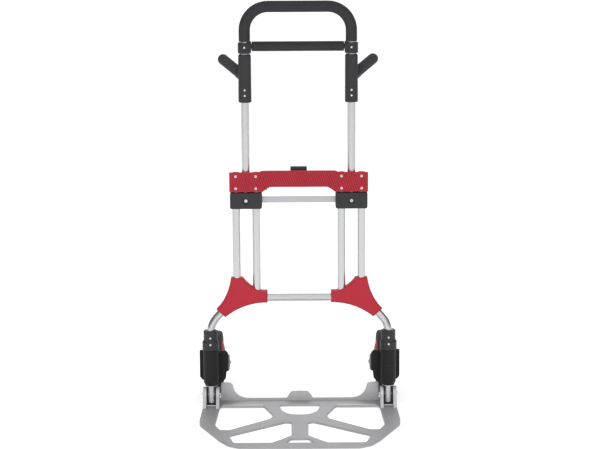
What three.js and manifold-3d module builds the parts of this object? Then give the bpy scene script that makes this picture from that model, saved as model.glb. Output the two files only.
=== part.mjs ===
// A folding hand truck: an aluminium frame of two pairs of tubes with a telescoping mast, a hinged toe plate
// and two wheels on carriers that swing in behind the frame.
// Millimetres, +Z up, +X to the right, the toe plate towards -Y and the wheels towards +Y.
// The origin is on the floor, under the middle of the frame, in the plane of the tubes.
// Sided pieces are drawn once, for the left side (x < 0), and a mirrored group gives the right side.
import * as THREE from "three";
import { mergeVertices } from "three/addons/utils/BufferGeometryUtils.js";
import Module from "manifold-3d";

const wasm = await Module();
wasm.setup();

// ---------------------------------------------------------------- driving dimensions

const TOTAL_HEIGHT = 1280;
const GAP = 0.4; // between pieces that touch or slide
const ROUND_SIDES = 16;
const WHEEL_SIDES = 32;

// tubes
const TUBE_R = 12.5;
const TUBE_WALL = 2;
const OUTER_X = 194; // the frame's outer tubes
const INNER_X = 132; // the frame's inner tubes
const MAST_X = (OUTER_X + INNER_X) / 2; // the mast slides between them
const LEG_X = 279;
const LEG_BEND_TOP_Z = 364;
const LEG_BEND_LOW_Z = 267;
const LEG_BEND_R = 80;
const CROSS_TUBE_Z = 355;
const FIT_R = TUBE_R + GAP;

// mast
const MAST_BEND_R = 72;
const GRIP_R = TUBE_R + 4.8;
const GRIP_LEG = 34; // how far the foam reaches down each side below the bend
const COLLAR_R = TUBE_R + 8;
const COLLAR_HEIGHT = 33;
const CROSS_GRIP_R = 15;
const CROSS_GRIP_TUBE_R = 8;
const SLEEVE_R = TUBE_R + 7.5;
const SLEEVE_LENGTH = 147;
const SIDE_GRIP_R = 16.5;
const SIDE_GRIP_REACH = new THREE.Vector3(-68, 70, 46); // from the mast tube to the round end
const SIDE_GRIP_CORE_R = 9;

// crossbeam, the red carrying handle that caps the frame's tubes
const BEAM_HALF = OUTER_X + 20;
const BEAM_TOP = 757;
const BEAM_BOTTOM = 694;
const BEAM_GRIP_TOP = 762;
const BEAM_GRIP_BOTTOM = 709;
const BEAM_GRIP_HALF = INNER_X - 48; // half the flat part of the arch under it
const BEAM_SHOULDER = 27;
const BEAM_FRONT = -TUBE_R - 11.5;
const BEAM_WALL = 2.5;
const BEAM_SCREW_Z = [743, 705];
const SCREW_HEAD_R = 4.3;

// release button and latch bar
const BUTTON_HALF = 25.5;
const BUTTON_DEPTH = 18;
const BUTTON_RISE = 8;
const BUTTON_TRAVEL = 5;
const LATCH_Z = 727;
const LATCH_PIN_R = 4;
const LATCH_BAR_HEIGHT = 18;
const LATCH_BAR_THICK = 3;
const LATCH_TRAVEL = 4.5;
const LATCH_REST_Y = FIT_R + BEAM_WALL;
const LATCH_ROOM_BACK = LATCH_REST_Y + LATCH_BAR_THICK + LATCH_TRAVEL + GAP;
const BEAM_BACK = LATCH_ROOM_BACK + BEAM_WALL;
const SPRING_WIRE = 0.8;
const SPRING_TURNS = 4;

// slider, the black block at the foot of each mast tube
const SLIDER_TOP = 691;
const SLIDER_BOTTOM = 640;
const SLIDER_EDGE = TUBE_R + 6; // past the centre lines of the two tubes that it rides on
const SLIDER_DEPTH = 2 * (TUBE_R + 9.5);
const CROSSBAR_HEIGHT = 19;
const CROSSBAR_DEPTH = 8;

// corner bracket
const BRACKET_TOP = 420;
const BRACKET_DEPTH = 2 * (TUBE_R + 4.5);
const BRACKET_ARM_END_X = INNER_X - 33;
const BRACKET_ARM_HALF = TUBE_R + 6;

// leg, from the top: collar, wheel carrier, washer, foot block
const LEG_COLLAR_R = TUBE_R + 8.5;
const LEG_COLLAR_FOOT = 5; // how much wider the collar is below the step
const LEG_COLLAR_TOP = 249;
const LEG_COLLAR_STEP = 212;
const KINGPIN_R = TUBE_R - TUBE_WALL - GAP - 0.1;
const KINGPIN_BOTTOM = 14;
const WASHER_THICK = 1.6;
const FOOT_HALF = KINGPIN_R + 4.6;

// wheel carrier, which turns about the leg. U is measured inwards from the leg's axis, for both sides
const CARRIER_TOP = 187;
const CARRIER_BOTTOM = 72;
const BARREL_R = KINGPIN_R + 14;
const FORK_OUTER_U = -37;
const FORK_INNER_U = 53;
const FORK_ARM = 6;
const FORK_WEB_FRONT = 29;
const FORK_WEB_BACK = 38;
const FORK_BOTTOM = 85;
const FORK_TOP = 178;
const FORK_BOSS_R = 25;

// wheel
const WHEEL_R = 103;
const TYRE_WIDTH = 44;
const TYRE_DEPTH = 24;
const HUB_WIDTH = 64;
const HUB_RIM_HALF = 15;
const WHEEL_U = 9.5;
const WHEEL_BORE_R = 10;
const AXLE_R = 6;
const TYRE_GAP = 9;
const AXLE_Y = FORK_WEB_BACK + TYRE_GAP + WHEEL_R;

// toe plate
const HINGE_Z = 40.5;
const HINGE_PIN_R = 5;
const PLATE_THICK = 7;
const PLATE_FRONT = -433;
const FENCE_BACK = 47;
const FENCE_THICK = 5;
const FENCE_TOP = 15;
const EAR_R = CARRIER_BOTTOM - WASHER_THICK - 6 - HINGE_Z;
const EAR_SLOT_HALF = FOOT_HALF + 0.6;
const EAR_OUTER = 11;
const EAR_INNER = 10;
const PLATE_HALF_REAR = LEG_X + EAR_SLOT_HALF + EAR_OUTER + 0.3;
const PLATE_HALF = PLATE_HALF_REAR + 1.5;
const HUMP_TOP = 66;
const TAB_TOP = 38;

// ---------------------------------------------------------------- materials

const aluminium = new THREE.MeshStandardMaterial({ color: 0xc9cacd, roughness: 0.3, metalness: 0.9 });
const castAluminium = new THREE.MeshStandardMaterial({ color: 0xa3a4a8, roughness: 0.5, metalness: 0.8 });
const steel = new THREE.MeshStandardMaterial({ color: 0xd8d8da, roughness: 0.25, metalness: 1 });
const redPlastic = new THREE.MeshStandardMaterial({ color: 0xb7293f, roughness: 0.5, metalness: 0 });
const blackPlastic = new THREE.MeshStandardMaterial({ color: 0x2b2b2e, roughness: 0.55, metalness: 0 });
const foam = new THREE.MeshStandardMaterial({ color: 0x34343a, roughness: 0.9, metalness: 0 });
const tyreRubber = new THREE.MeshStandardMaterial({ color: 0x1f1f20, roughness: 0.8, metalness: 0 });

// ---------------------------------------------------------------- shapes

const v = (x, y, z) => new THREE.Vector3(x, y, z);

// A closed geometry as a solid that can be joined and cut.
function solid(geometry) {
  const loose = geometry.index ? geometry.toNonIndexed() : geometry.clone();
  loose.deleteAttribute("normal");
  loose.deleteAttribute("uv");
  const merged = mergeVertices(loose, 1e-4);
  return new wasm.Manifold(
    new wasm.Mesh({
      numProp: 3,
      vertProperties: merged.attributes.position.array,
      triVerts: new Uint32Array(merged.index.array),
    }),
  );
}

function part(name, shape, material) {
  const { vertProperties, triVerts } = shape.getMesh();
  const geometry = new THREE.BufferGeometry()
    .setAttribute("position", new THREE.BufferAttribute(vertProperties, 3))
    .setIndex(new THREE.BufferAttribute(triVerts, 1));
  geometry.computeVertexNormals();
  const mesh = new THREE.Mesh(geometry, material);
  mesh.name = name;
  return mesh;
}

function block(x0, x1, y0, y1, z0, z1) {
  const geometry = new THREE.BoxGeometry(x1 - x0, y1 - y0, z1 - z0);
  return solid(geometry.translate((x0 + x1) / 2, (y0 + y1) / 2, (z0 + z1) / 2));
}

// A round bar from one point to another. topR differs from radius where it tapers.
function bar(from, to, radius, sides = ROUND_SIDES, topR = radius) {
  const along = to.clone().sub(from);
  const geometry = new THREE.CylinderGeometry(topR, radius, along.length(), sides);
  geometry.translate(0, along.length() / 2, 0);
  geometry.applyQuaternion(new THREE.Quaternion().setFromUnitVectors(v(0, 1, 0), along.normalize()));
  return solid(geometry.translate(from.x, from.y, from.z));
}

const upright = (x, y, z0, z1, radius, sides) => bar(v(x, y, z0), v(x, y, z1), radius, sides);
const crosswise = (x0, x1, y, z, radius, sides) => bar(v(x0, y, z), v(x1, y, z), radius, sides);
const lengthwise = (x, y0, y1, z, radius, sides) => bar(v(x, y0, z), v(x, y1, z), radius, sides);

// An outline in one plane, pushed along the third axis from one place to another. A bevel keeps inside them.
const PLANES = {
  XY: [v(1, 0, 0), v(0, 1, 0), v(0, 0, 1), 1],
  XZ: [v(1, 0, 0), v(0, 0, 1), v(0, -1, 0), -1],
  YZ: [v(0, 1, 0), v(0, 0, 1), v(1, 0, 0), 1],
};
function slab(outline, plane, from, to, bevel = 0, curveSegments = 6) {
  const [a, b, c, sign] = PLANES[plane];
  const geometry = new THREE.ExtrudeGeometry(outline, {
    depth: to - from - 2 * bevel,
    bevelEnabled: bevel > 0,
    bevelThickness: bevel,
    bevelSize: bevel,
    bevelOffset: -bevel,
    bevelSegments: 1,
    curveSegments,
  });
  geometry.translate(0, 0, (sign > 0 ? from : -to) + bevel);
  return solid(geometry.applyMatrix4(new THREE.Matrix4().makeBasis(a, b, c)));
}

function ringOutline(outer, inner) {
  const ring = new THREE.Shape().absarc(0, 0, outer, 0, 2 * Math.PI);
  if (inner) ring.holes.push(new THREE.Path().absarc(0, 0, inner, 0, 2 * Math.PI, true));
  return ring;
}

// A centre line of straight runs with rounded corners, sampled only where it bends.
class BentLine extends THREE.Curve {
  constructor(corners, radius, stepsPerBend = 6) {
    super();
    this.stations = [];
    const add = (point, tangent) => this.stations.push({ point, tangent });
    add(corners[0], corners[1].clone().sub(corners[0]).normalize());
    for (let i = 1; i < corners.length - 1; i++) {
      const before = corners[i].clone().sub(corners[i - 1]).normalize();
      const after = corners[i + 1].clone().sub(corners[i]).normalize();
      const turn = before.angleTo(after);
      const start = corners[i].clone().addScaledVector(before, -radius * Math.tan(turn / 2));
      const inwards = after.clone().addScaledVector(before, -after.dot(before)).normalize();
      for (let k = 0; k <= stepsPerBend; k++) {
        const angle = (turn * k) / stepsPerBend;
        const point = start.clone();
        point.addScaledVector(before, radius * Math.sin(angle));
        point.addScaledVector(inwards, radius * (1 - Math.cos(angle)));
        const tangent = before.clone().multiplyScalar(Math.cos(angle));
        tangent.addScaledVector(inwards, Math.sin(angle));
        add(point, tangent);
      }
    }
    const last = corners.length - 1;
    add(corners[last], corners[last].clone().sub(corners[last - 1]).normalize());
  }
  get steps() {
    return this.stations.length - 1;
  }
  getPointAt(u) {
    return this.stations[Math.round(u * this.steps)].point.clone();
  }
  getTangentAt(u) {
    return this.stations[Math.round(u * this.steps)].tangent.clone();
  }
}

function bentTube(line, outer, inner = 0) {
  const outline = ringOutline(outer, inner);
  const curveSegments = ROUND_SIDES / 2;
  return solid(new THREE.ExtrudeGeometry(outline, { extrudePath: line, steps: line.steps, curveSegments }));
}

// A solid of revolution about an upright or crosswise axis. The profile is [radius, height] from the bottom
// up, starting and ending on the axis.
function turned(profile, centre, crosswiseAxis = false, sides = ROUND_SIDES) {
  const points = profile.map(([radius, height]) => new THREE.Vector2(radius, height));
  const geometry = new THREE.LatheGeometry(points, sides);
  if (crosswiseAxis) geometry.rotateZ(-Math.PI / 2);
  else geometry.rotateX(Math.PI / 2);
  return solid(geometry.translate(centre.x, centre.y, centre.z));
}

function outlineOf(points) {
  return new THREE.Shape(points.map(([x, y]) => new THREE.Vector2(x, y)));
}

// A polygon whose corners are rounded, as a shape or as a hole.
function rounded(points, radius, Kind = THREE.Shape) {
  const path = new Kind();
  const corners = points.map(([x, y]) => new THREE.Vector2(x, y));
  const n = corners.length;
  corners.forEach((corner, i) => {
    const toPrevious = corners[(i + n - 1) % n].clone().sub(corner);
    const toNext = corners[(i + 1) % n].clone().sub(corner);
    const cut = Math.min(radius, toPrevious.length() / 2.2, toNext.length() / 2.2);
    const start = corner.clone().addScaledVector(toPrevious.normalize(), cut);
    const end = corner.clone().addScaledVector(toNext.normalize(), cut);
    if (i === 0) path.moveTo(start.x, start.y);
    else path.lineTo(start.x, start.y);
    path.quadraticCurveTo(corner.x, corner.y, end.x, end.y);
  });
  path.closePath();
  return path;
}

function rectangle(x0, x1, y0, y1, radius = 0) {
  const corners = [[x0, y0], [x1, y0], [x1, y1], [x0, y1]];
  return radius ? rounded(corners, radius) : outlineOf(corners);
}

const hollow = (x, y, z0, z1, outer, inner) =>
  upright(x, y, z0, z1, outer).subtract(upright(x, y, z0 - 1, z1 + 1, inner));

// ---------------------------------------------------------------- frame tubes

const legLine = () =>
  new BentLine(
    [
      v(-OUTER_X, 0, BEAM_TOP - 2 * BEAM_WALL),
      v(-OUTER_X, 0, LEG_BEND_TOP_Z),
      v(-LEG_X, 0, LEG_BEND_LOW_Z),
      v(-LEG_X, 0, CARRIER_TOP + GAP),
    ],
    LEG_BEND_R,
  );
const INNER_TUBE_FOOT = CROSS_TUBE_Z + TUBE_R + GAP;
const CROSS_TUBE_HALF = INNER_X + TUBE_R;

function outerTube(side) {
  return part("outer_tube_" + side, bentTube(legLine(), TUBE_R, TUBE_R - TUBE_WALL), aluminium);
}

function innerTube(side) {
  const shape = hollow(-INNER_X, 0, INNER_TUBE_FOOT, BEAM_TOP - 2 * BEAM_WALL, TUBE_R, TUBE_R - TUBE_WALL);
  return part("inner_tube_" + side, shape, aluminium);
}

function crossTube() {
  const shape = crosswise(-CROSS_TUBE_HALF, CROSS_TUBE_HALF, 0, CROSS_TUBE_Z, TUBE_R);
  const inside = crosswise(-CROSS_TUBE_HALF - 1, CROSS_TUBE_HALF + 1, 0, CROSS_TUBE_Z, TUBE_R - TUBE_WALL);
  return part("cross_tube", shape.subtract(inside), aluminium);
}

// ---------------------------------------------------------------- corner brackets, two shells each

// Where the bent leg leaves the bracket, along its slanted run.
const LEG_SLANT = Math.atan2(LEG_X - OUTER_X, LEG_BEND_TOP_Z - LEG_BEND_LOW_Z);
const FOOT_SHARE = 0.6;
const BRACKET_FOOT = v(
  -OUTER_X - (LEG_X - OUTER_X) * FOOT_SHARE,
  0,
  LEG_BEND_TOP_Z - (LEG_BEND_TOP_Z - LEG_BEND_LOW_Z) * FOOT_SHARE,
);

function bracketOutline() {
  const half = BRACKET_ARM_HALF;
  const across = { x: Math.cos(LEG_SLANT) * half, z: Math.sin(LEG_SLANT) * half };
  const armTop = CROSS_TUBE_Z + half + 4;
  const armBottom = CROSS_TUBE_Z - half + 4;
  const footInner = [BRACKET_FOOT.x + across.x, BRACKET_FOOT.z - across.z];
  const footOuter = [BRACKET_FOOT.x - across.x, BRACKET_FOOT.z + across.z];
  const outline = new THREE.Shape();
  outline.moveTo(-OUTER_X - half, BRACKET_TOP);
  outline.quadraticCurveTo(-OUTER_X - half - 9, BRACKET_TOP - 65, ...footOuter);
  outline.lineTo(...footInner);
  outline.quadraticCurveTo(-INNER_X - 42, armBottom, -BRACKET_ARM_END_X, armBottom);
  outline.lineTo(-BRACKET_ARM_END_X, armTop);
  outline.lineTo(-INNER_X + 15, armTop);
  outline.quadraticCurveTo(-INNER_X - 24, armTop + 12, -OUTER_X + half, BRACKET_TOP);
  outline.closePath();
  return outline;
}

function bracketShells(side) {
  const tubes = bentTube(legLine(), FIT_R)
    .add(upright(-INNER_X, 0, INNER_TUBE_FOOT - 1, BRACKET_TOP, FIT_R))
    .add(crosswise(-CROSS_TUBE_HALF - GAP, 0, 0, CROSS_TUBE_Z, FIT_R));
  const shell = (from, to) => slab(bracketOutline(), "XZ", from, to, 3, 5).subtract(tubes);
  // a bevel keeps the whole bracket's depth, so each shell is half of one bevelled block
  const whole = shell(-BRACKET_DEPTH / 2, BRACKET_DEPTH / 2);
  const far = 2 * LEG_X;
  const front = whole.subtract(block(-far, 0, -GAP / 2, BRACKET_DEPTH, 0, TOTAL_HEIGHT));
  const back = whole.subtract(block(-far, 0, -BRACKET_DEPTH, GAP / 2, 0, TOTAL_HEIGHT));
  return [
    part("corner_bracket_front_" + side, front, redPlastic),
    part("corner_bracket_back_" + side, back, redPlastic),
  ];
}

// ---------------------------------------------------------------- crossbeam

function beamOutline() {
  const shoulder = BEAM_GRIP_HALF + BEAM_SHOULDER;
  const outline = new THREE.Shape();
  outline.moveTo(-BEAM_HALF, BEAM_BOTTOM);
  outline.lineTo(-shoulder, BEAM_BOTTOM);
  outline.quadraticCurveTo(-BEAM_GRIP_HALF - 8, BEAM_GRIP_BOTTOM, -BEAM_GRIP_HALF, BEAM_GRIP_BOTTOM);
  outline.lineTo(BEAM_GRIP_HALF, BEAM_GRIP_BOTTOM);
  outline.quadraticCurveTo(BEAM_GRIP_HALF + 8, BEAM_GRIP_BOTTOM, shoulder, BEAM_BOTTOM);
  outline.lineTo(BEAM_HALF, BEAM_BOTTOM);
  outline.lineTo(BEAM_HALF, BEAM_TOP);
  outline.lineTo(shoulder + 14, BEAM_TOP);
  outline.lineTo(shoulder, BEAM_GRIP_TOP);
  outline.lineTo(-shoulder, BEAM_GRIP_TOP);
  outline.lineTo(-shoulder - 14, BEAM_TOP);
  outline.lineTo(-BEAM_HALF, BEAM_TOP);
  outline.closePath();
  return outline;
}

const TUBE_SEAT_TOP = BEAM_TOP - 2 * BEAM_WALL + GAP;
const STEM_HALF = 8;
const STEM_BOTTOM = LATCH_Z + 2;
const SPRING_SEAT = BEAM_GRIP_BOTTOM + 6;

// Everything that passes through the beam or moves inside it.
function beamHollows() {
  const hollows = [];
  for (const s of [-1, 1]) {
    hollows.push(upright(s * OUTER_X, 0, BEAM_BOTTOM - 1, TUBE_SEAT_TOP, FIT_R));
    hollows.push(upright(s * INNER_X, 0, BEAM_BOTTOM - 1, TUBE_SEAT_TOP, FIT_R));
    hollows.push(upright(s * MAST_X, 0, BEAM_BOTTOM - 1, BEAM_GRIP_TOP + 1, FIT_R));
    hollows.push(lengthwise(s * MAST_X, TUBE_R - 1, LATCH_REST_Y + 1, LATCH_Z, LATCH_PIN_R + GAP));
  }
  const latchEnd = MAST_X + LATCH_PIN_R + 5;
  const latchTop = LATCH_Z + LATCH_BAR_HEIGHT / 2 + GAP;
  const latchBottom = LATCH_Z - LATCH_BAR_HEIGHT / 2 - GAP;
  hollows.push(block(-latchEnd, latchEnd, LATCH_REST_Y - GAP, LATCH_ROOM_BACK, latchBottom, latchTop));
  const capHalf = BUTTON_HALF + GAP;
  const capY = BUTTON_DEPTH / 2 + GAP;
  hollows.push(block(-capHalf, capHalf, -capY, capY, BEAM_GRIP_TOP - BUTTON_TRAVEL - 6, BEAM_GRIP_TOP + 1));
  const stem = STEM_HALF + GAP;
  hollows.push(block(-stem, stem, -stem, LATCH_REST_Y, SPRING_SEAT, BEAM_GRIP_TOP));
  return hollows;
}

const beamScrewPlaces = () =>
  [-OUTER_X, -INNER_X, INNER_X, OUTER_X].flatMap((x) => BEAM_SCREW_Z.map((z) => [x, z]));
const SCREW_SINK = 1.2;

function beamShells() {
  let whole = slab(beamOutline(), "XZ", BEAM_FRONT, BEAM_BACK, 2.5, 5);
  for (const hollow of beamHollows()) whole = whole.subtract(hollow);
  for (const [x, z] of beamScrewPlaces()) {
    whole = whole.subtract(lengthwise(x, BEAM_FRONT - 1, 0, z, 2 + GAP, 8));
    whole = whole.subtract(lengthwise(x, BEAM_FRONT - 1, BEAM_FRONT + SCREW_SINK, z, SCREW_HEAD_R + GAP, 12));
  }
  const wide = BEAM_HALF + 1;
  const front = whole.subtract(block(-wide, wide, -GAP / 2, BEAM_BACK + 1, 0, TOTAL_HEIGHT));
  const back = whole.subtract(block(-wide, wide, BEAM_FRONT - 1, GAP / 2, 0, TOTAL_HEIGHT));
  return [part("crossbeam_front", front, redPlastic), part("crossbeam_back", back, redPlastic)];
}

function beamScrews() {
  return beamScrewPlaces().map(([x, z], i) => {
    const headBack = BEAM_FRONT + SCREW_SINK - GAP;
    const head = lengthwise(x, BEAM_FRONT - 1, headBack, z, SCREW_HEAD_R, 12);
    const shank = lengthwise(x, headBack - 0.5, -FIT_R - GAP, z, 2, 8);
    return part("crossbeam_screw_" + (i + 1), head.add(shank), steel);
  });
}

// ---------------------------------------------------------------- release button and latch bar

function releaseButton() {
  const top = BEAM_GRIP_TOP + BUTTON_RISE;
  const underCap = BEAM_GRIP_TOP - 5;
  const half = BUTTON_DEPTH / 2;
  const cap = slab(rectangle(-BUTTON_HALF, BUTTON_HALF, underCap, top, 2), "XZ", -half, half, 1.5, 2);
  const stemBack = LATCH_REST_Y - 2 * GAP;
  const stem = block(-STEM_HALF, STEM_HALF, -STEM_HALF, stemBack, STEM_BOTTOM + BUTTON_TRAVEL, underCap + 1);
  return part("release_button", cap.add(stem), blackPlastic);
}

function buttonSpring() {
  const foot = SPRING_SEAT + SPRING_WIRE + GAP;
  const top = STEM_BOTTOM + BUTTON_TRAVEL - SPRING_WIRE - GAP;
  const coilR = STEM_HALF - SPRING_WIRE - 1.5;
  class Coil extends THREE.Curve {
    getPoint(t) {
      const angle = 2 * Math.PI * SPRING_TURNS * t;
      return v(coilR * Math.cos(angle), coilR * Math.sin(angle), foot + (top - foot) * t);
    }
  }
  const outline = ringOutline(SPRING_WIRE, 0);
  const steps = SPRING_TURNS * 8;
  const wire = new THREE.ExtrudeGeometry(outline, { extrudePath: new Coil(), steps, curveSegments: 3 });
  return part("button_spring", solid(wire), steel);
}

// A steel strip behind the tubes, with a pin at each end that faces a locking hole in the mast.
function latchBar() {
  const end = MAST_X + LATCH_PIN_R + 4;
  const half = LATCH_BAR_HEIGHT / 2;
  let shape = block(-end, end, LATCH_REST_Y, LATCH_REST_Y + LATCH_BAR_THICK, LATCH_Z - half, LATCH_Z + half);
  for (const s of [-1, 1]) {
    shape = shape.add(lengthwise(s * MAST_X, FIT_R + GAP, LATCH_REST_Y + 1, LATCH_Z, LATCH_PIN_R, 12));
  }
  return part("latch_bar", shape, steel);
}

// ---------------------------------------------------------------- mast

const GRIP_TOP_Z = TOTAL_HEIGHT - GRIP_R; // the centre line of the mast's top run
const GRIP_FOOT_Z = GRIP_TOP_Z - MAST_BEND_R - GRIP_LEG;
const COLLAR_TOP = GRIP_FOOT_Z - 3;
const COLLAR_BOTTOM = COLLAR_TOP - COLLAR_HEIGHT;
const CROSS_GRIP_Z = COLLAR_TOP - 12;
const SLEEVE_TOP = COLLAR_BOTTOM - 3;
const SLEEVE_BOTTOM = SLEEVE_TOP - SLEEVE_LENGTH;
const SIDE_GRIP_ROOT_Z = SLEEVE_TOP - 70;
const MAST_FOOT = SLIDER_BOTTOM + 14;
const CROSS_GRIP_END = MAST_X - COLLAR_R - 2;

function mastLine(foot) {
  const left = [v(-MAST_X, 0, foot), v(-MAST_X, 0, GRIP_TOP_Z)];
  const right = [v(MAST_X, 0, GRIP_TOP_Z), v(MAST_X, 0, foot)];
  return new BentLine([...left, ...right], MAST_BEND_R);
}

function handleTube() {
  let shape = bentTube(mastLine(MAST_FOOT), TUBE_R, TUBE_R - TUBE_WALL);
  for (const s of [-1, 1]) {
    shape = shape.subtract(lengthwise(s * MAST_X, TUBE_WALL, TUBE_R + 2, LATCH_Z, LATCH_PIN_R + GAP));
  }
  return part("handle_tube", shape, aluminium);
}

const topGrip = () => part("top_grip", bentTube(mastLine(GRIP_FOOT_Z), GRIP_R, FIT_R), foam);

function crossGrip() {
  const tubeEnd = MAST_X - FIT_R - GAP;
  const tube = crosswise(-tubeEnd, tubeEnd, 0, CROSS_GRIP_Z, CROSS_GRIP_TUBE_R);
  const inside = crosswise(-tubeEnd - 1, tubeEnd + 1, 0, CROSS_GRIP_Z, CROSS_GRIP_TUBE_R - TUBE_WALL);
  const sleeve = crosswise(-CROSS_GRIP_END, CROSS_GRIP_END, 0, CROSS_GRIP_Z, CROSS_GRIP_R);
  const bore = crosswise(-MAST_X, MAST_X, 0, CROSS_GRIP_Z, CROSS_GRIP_TUBE_R + GAP);
  return [
    part("cross_grip_tube", tube.subtract(inside), blackPlastic),
    part("cross_grip", sleeve.subtract(bore), foam),
  ];
}

function gripCollar(side) {
  const ring = turned(
    [[0, 0], [COLLAR_R - 2.5, 0], [COLLAR_R, 4], [COLLAR_R, COLLAR_HEIGHT], [0, COLLAR_HEIGHT]],
    v(-MAST_X, 0, COLLAR_BOTTOM),
  );
  const shape = ring
    .subtract(upright(-MAST_X, 0, COLLAR_BOTTOM - 1, COLLAR_TOP + 1, FIT_R))
    .subtract(crosswise(-MAST_X, 0, 0, CROSS_GRIP_Z, CROSS_GRIP_TUBE_R + GAP));
  return part("grip_collar_" + side, shape, blackPlastic);
}

// The moulded sleeve with the core of the side grip, and the rubber grip over that core.
function sleeveAndSideGrip(side) {
  const root = v(-MAST_X, 0, SIDE_GRIP_ROOT_Z);
  const end = root.clone().add(SIDE_GRIP_REACH);
  const body = turned(
    [[0, 0], [SLEEVE_R, 0], [SLEEVE_R, SLEEVE_LENGTH - 5], [SLEEVE_R - 2.5, SLEEVE_LENGTH],
      [0, SLEEVE_LENGTH]],
    v(-MAST_X, 0, SLEEVE_BOTTOM),
  );
  const bore = upright(-MAST_X, 0, SLEEVE_BOTTOM - 1, SLEEVE_TOP + 1, FIT_R);
  const core = bar(root, end, SIDE_GRIP_CORE_R);
  const cap = solid(new THREE.SphereGeometry(SIDE_GRIP_R, ROUND_SIDES, 6).translate(end.x, end.y, end.z));
  const grip = bar(root, end, SIDE_GRIP_R)
    .add(cap)
    .subtract(bar(root, end.clone().addScaledVector(SIDE_GRIP_REACH, 0.02), SIDE_GRIP_CORE_R + GAP))
    .subtract(upright(-MAST_X, 0, SLEEVE_BOTTOM - 1, SLEEVE_TOP + 1, SLEEVE_R + 2 * GAP));
  return [
    part("handle_sleeve_" + side, body.add(core).subtract(bore), blackPlastic),
    part("side_grip_" + side, grip, foam),
  ];
}

// ---------------------------------------------------------------- sliders and their crossbar

const CROSSBAR_Z = (SLIDER_TOP + SLIDER_BOTTOM) / 2 + 1;
const CROSSBAR_END = INNER_X - FIT_R - 2 * GAP;
const SLIDER_SCREW_Z = (SLIDER_TOP + SLIDER_BOTTOM) / 2;

function slider(side) {
  const outline = rectangle(-OUTER_X - SLIDER_EDGE, -INNER_X + SLIDER_EDGE, SLIDER_BOTTOM, SLIDER_TOP, 5);
  const front = -SLIDER_DEPTH / 2;
  const shape = slab(outline, "XZ", front, -front, 4, 2)
    .subtract(upright(-OUTER_X, 0, 0, SLIDER_TOP + 1, FIT_R))
    .subtract(upright(-INNER_X, 0, 0, SLIDER_TOP + 1, FIT_R))
    .subtract(upright(-MAST_X, 0, MAST_FOOT - GAP, SLIDER_TOP + 1, FIT_R))
    .subtract(crossbarShape(GAP))
    .subtract(lengthwise(-MAST_X, front - 1, front + SCREW_SINK, SLIDER_SCREW_Z, SCREW_HEAD_R + GAP, 12))
    .subtract(lengthwise(-MAST_X, front - 1, 0, SLIDER_SCREW_Z, 2 + GAP, 8));
  return part("slider_" + side, shape, blackPlastic);
}

function sliderScrew(side) {
  const front = -SLIDER_DEPTH / 2;
  const headBack = front + SCREW_SINK - GAP;
  const shape = lengthwise(-MAST_X, front - 1, headBack, SLIDER_SCREW_Z, SCREW_HEAD_R, 12).add(
    lengthwise(-MAST_X, headBack - 0.5, -FIT_R - GAP, SLIDER_SCREW_Z, 2, 8),
  );
  return part("slider_screw_" + side, shape, steel);
}

function crossbarShape(grow) {
  const x = CROSSBAR_END + grow;
  const y = CROSSBAR_DEPTH / 2 + grow;
  const z = CROSSBAR_HEIGHT / 2 + grow;
  return block(-x, x, -y, y, CROSSBAR_Z - z, CROSSBAR_Z + z);
}

const sliderCrossbar = () => part("slider_crossbar", crossbarShape(0), castAluminium);

// ---------------------------------------------------------------- leg: collar, kingpin, washer, foot block

function legCollar(side) {
  const height = LEG_COLLAR_TOP - CARRIER_TOP - GAP;
  const step = LEG_COLLAR_STEP - CARRIER_TOP;
  const foot = LEG_COLLAR_R + LEG_COLLAR_FOOT;
  const shape = turned(
    [[0, 0], [foot, 0], [foot, step], [LEG_COLLAR_R, step + 6], [LEG_COLLAR_R, height - 3],
      [LEG_COLLAR_R - 3, height], [0, height]],
    v(-LEG_X, 0, CARRIER_TOP + GAP),
  )
    .subtract(bentTube(legLine(), FIT_R))
    .subtract(upright(-LEG_X, 0, CARRIER_TOP - 1, CARRIER_TOP + 2, FIT_R));
  return part("leg_collar_" + side, shape, blackPlastic);
}

// The steel pin in the foot of the leg tube. The carrier turns on it, and it holds the foot block.
function kingpin(side) {
  const shape = upright(-LEG_X, 0, KINGPIN_BOTTOM, LEG_COLLAR_STEP, KINGPIN_R).subtract(hingePinShape(GAP));
  return part("kingpin_" + side, shape, steel);
}

function washer(side) {
  const top = CARRIER_BOTTOM - GAP;
  const shape = hollow(-LEG_X, 0, top - WASHER_THICK, top, BARREL_R - 4, KINGPIN_R + GAP);
  return part("washer_" + side, shape, steel);
}

function footBlock(side) {
  const top = CARRIER_BOTTOM - 2 * GAP - WASHER_THICK;
  const reach = EAR_R + 11;
  const back = 15;
  // seen from the side: flat in front and behind, and round under the hinge pin
  const outline = new THREE.Shape();
  outline.moveTo(back, top);
  outline.lineTo(-9, top);
  outline.lineTo(-9, HINGE_Z);
  outline.absarc(0, HINGE_Z, reach, -Math.acos(-9 / reach), -Math.acos(back / reach));
  outline.closePath();
  const stubRoom = KINGPIN_R + GAP;
  const shape = slab(outline, "YZ", -LEG_X - FOOT_HALF, -LEG_X + FOOT_HALF, 0, 6)
    .subtract(upright(-LEG_X, 0, KINGPIN_BOTTOM - GAP, top + 1, stubRoom))
    .subtract(block(-LEG_X - stubRoom, -LEG_X + stubRoom, -20, 0, KINGPIN_BOTTOM - GAP, top + 1))
    .subtract(hingePinShape(GAP));
  return part("foot_block_" + side, shape, blackPlastic);
}

// ---------------------------------------------------------------- wheel carrier

const wheelX = -LEG_X + WHEEL_U;

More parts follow.
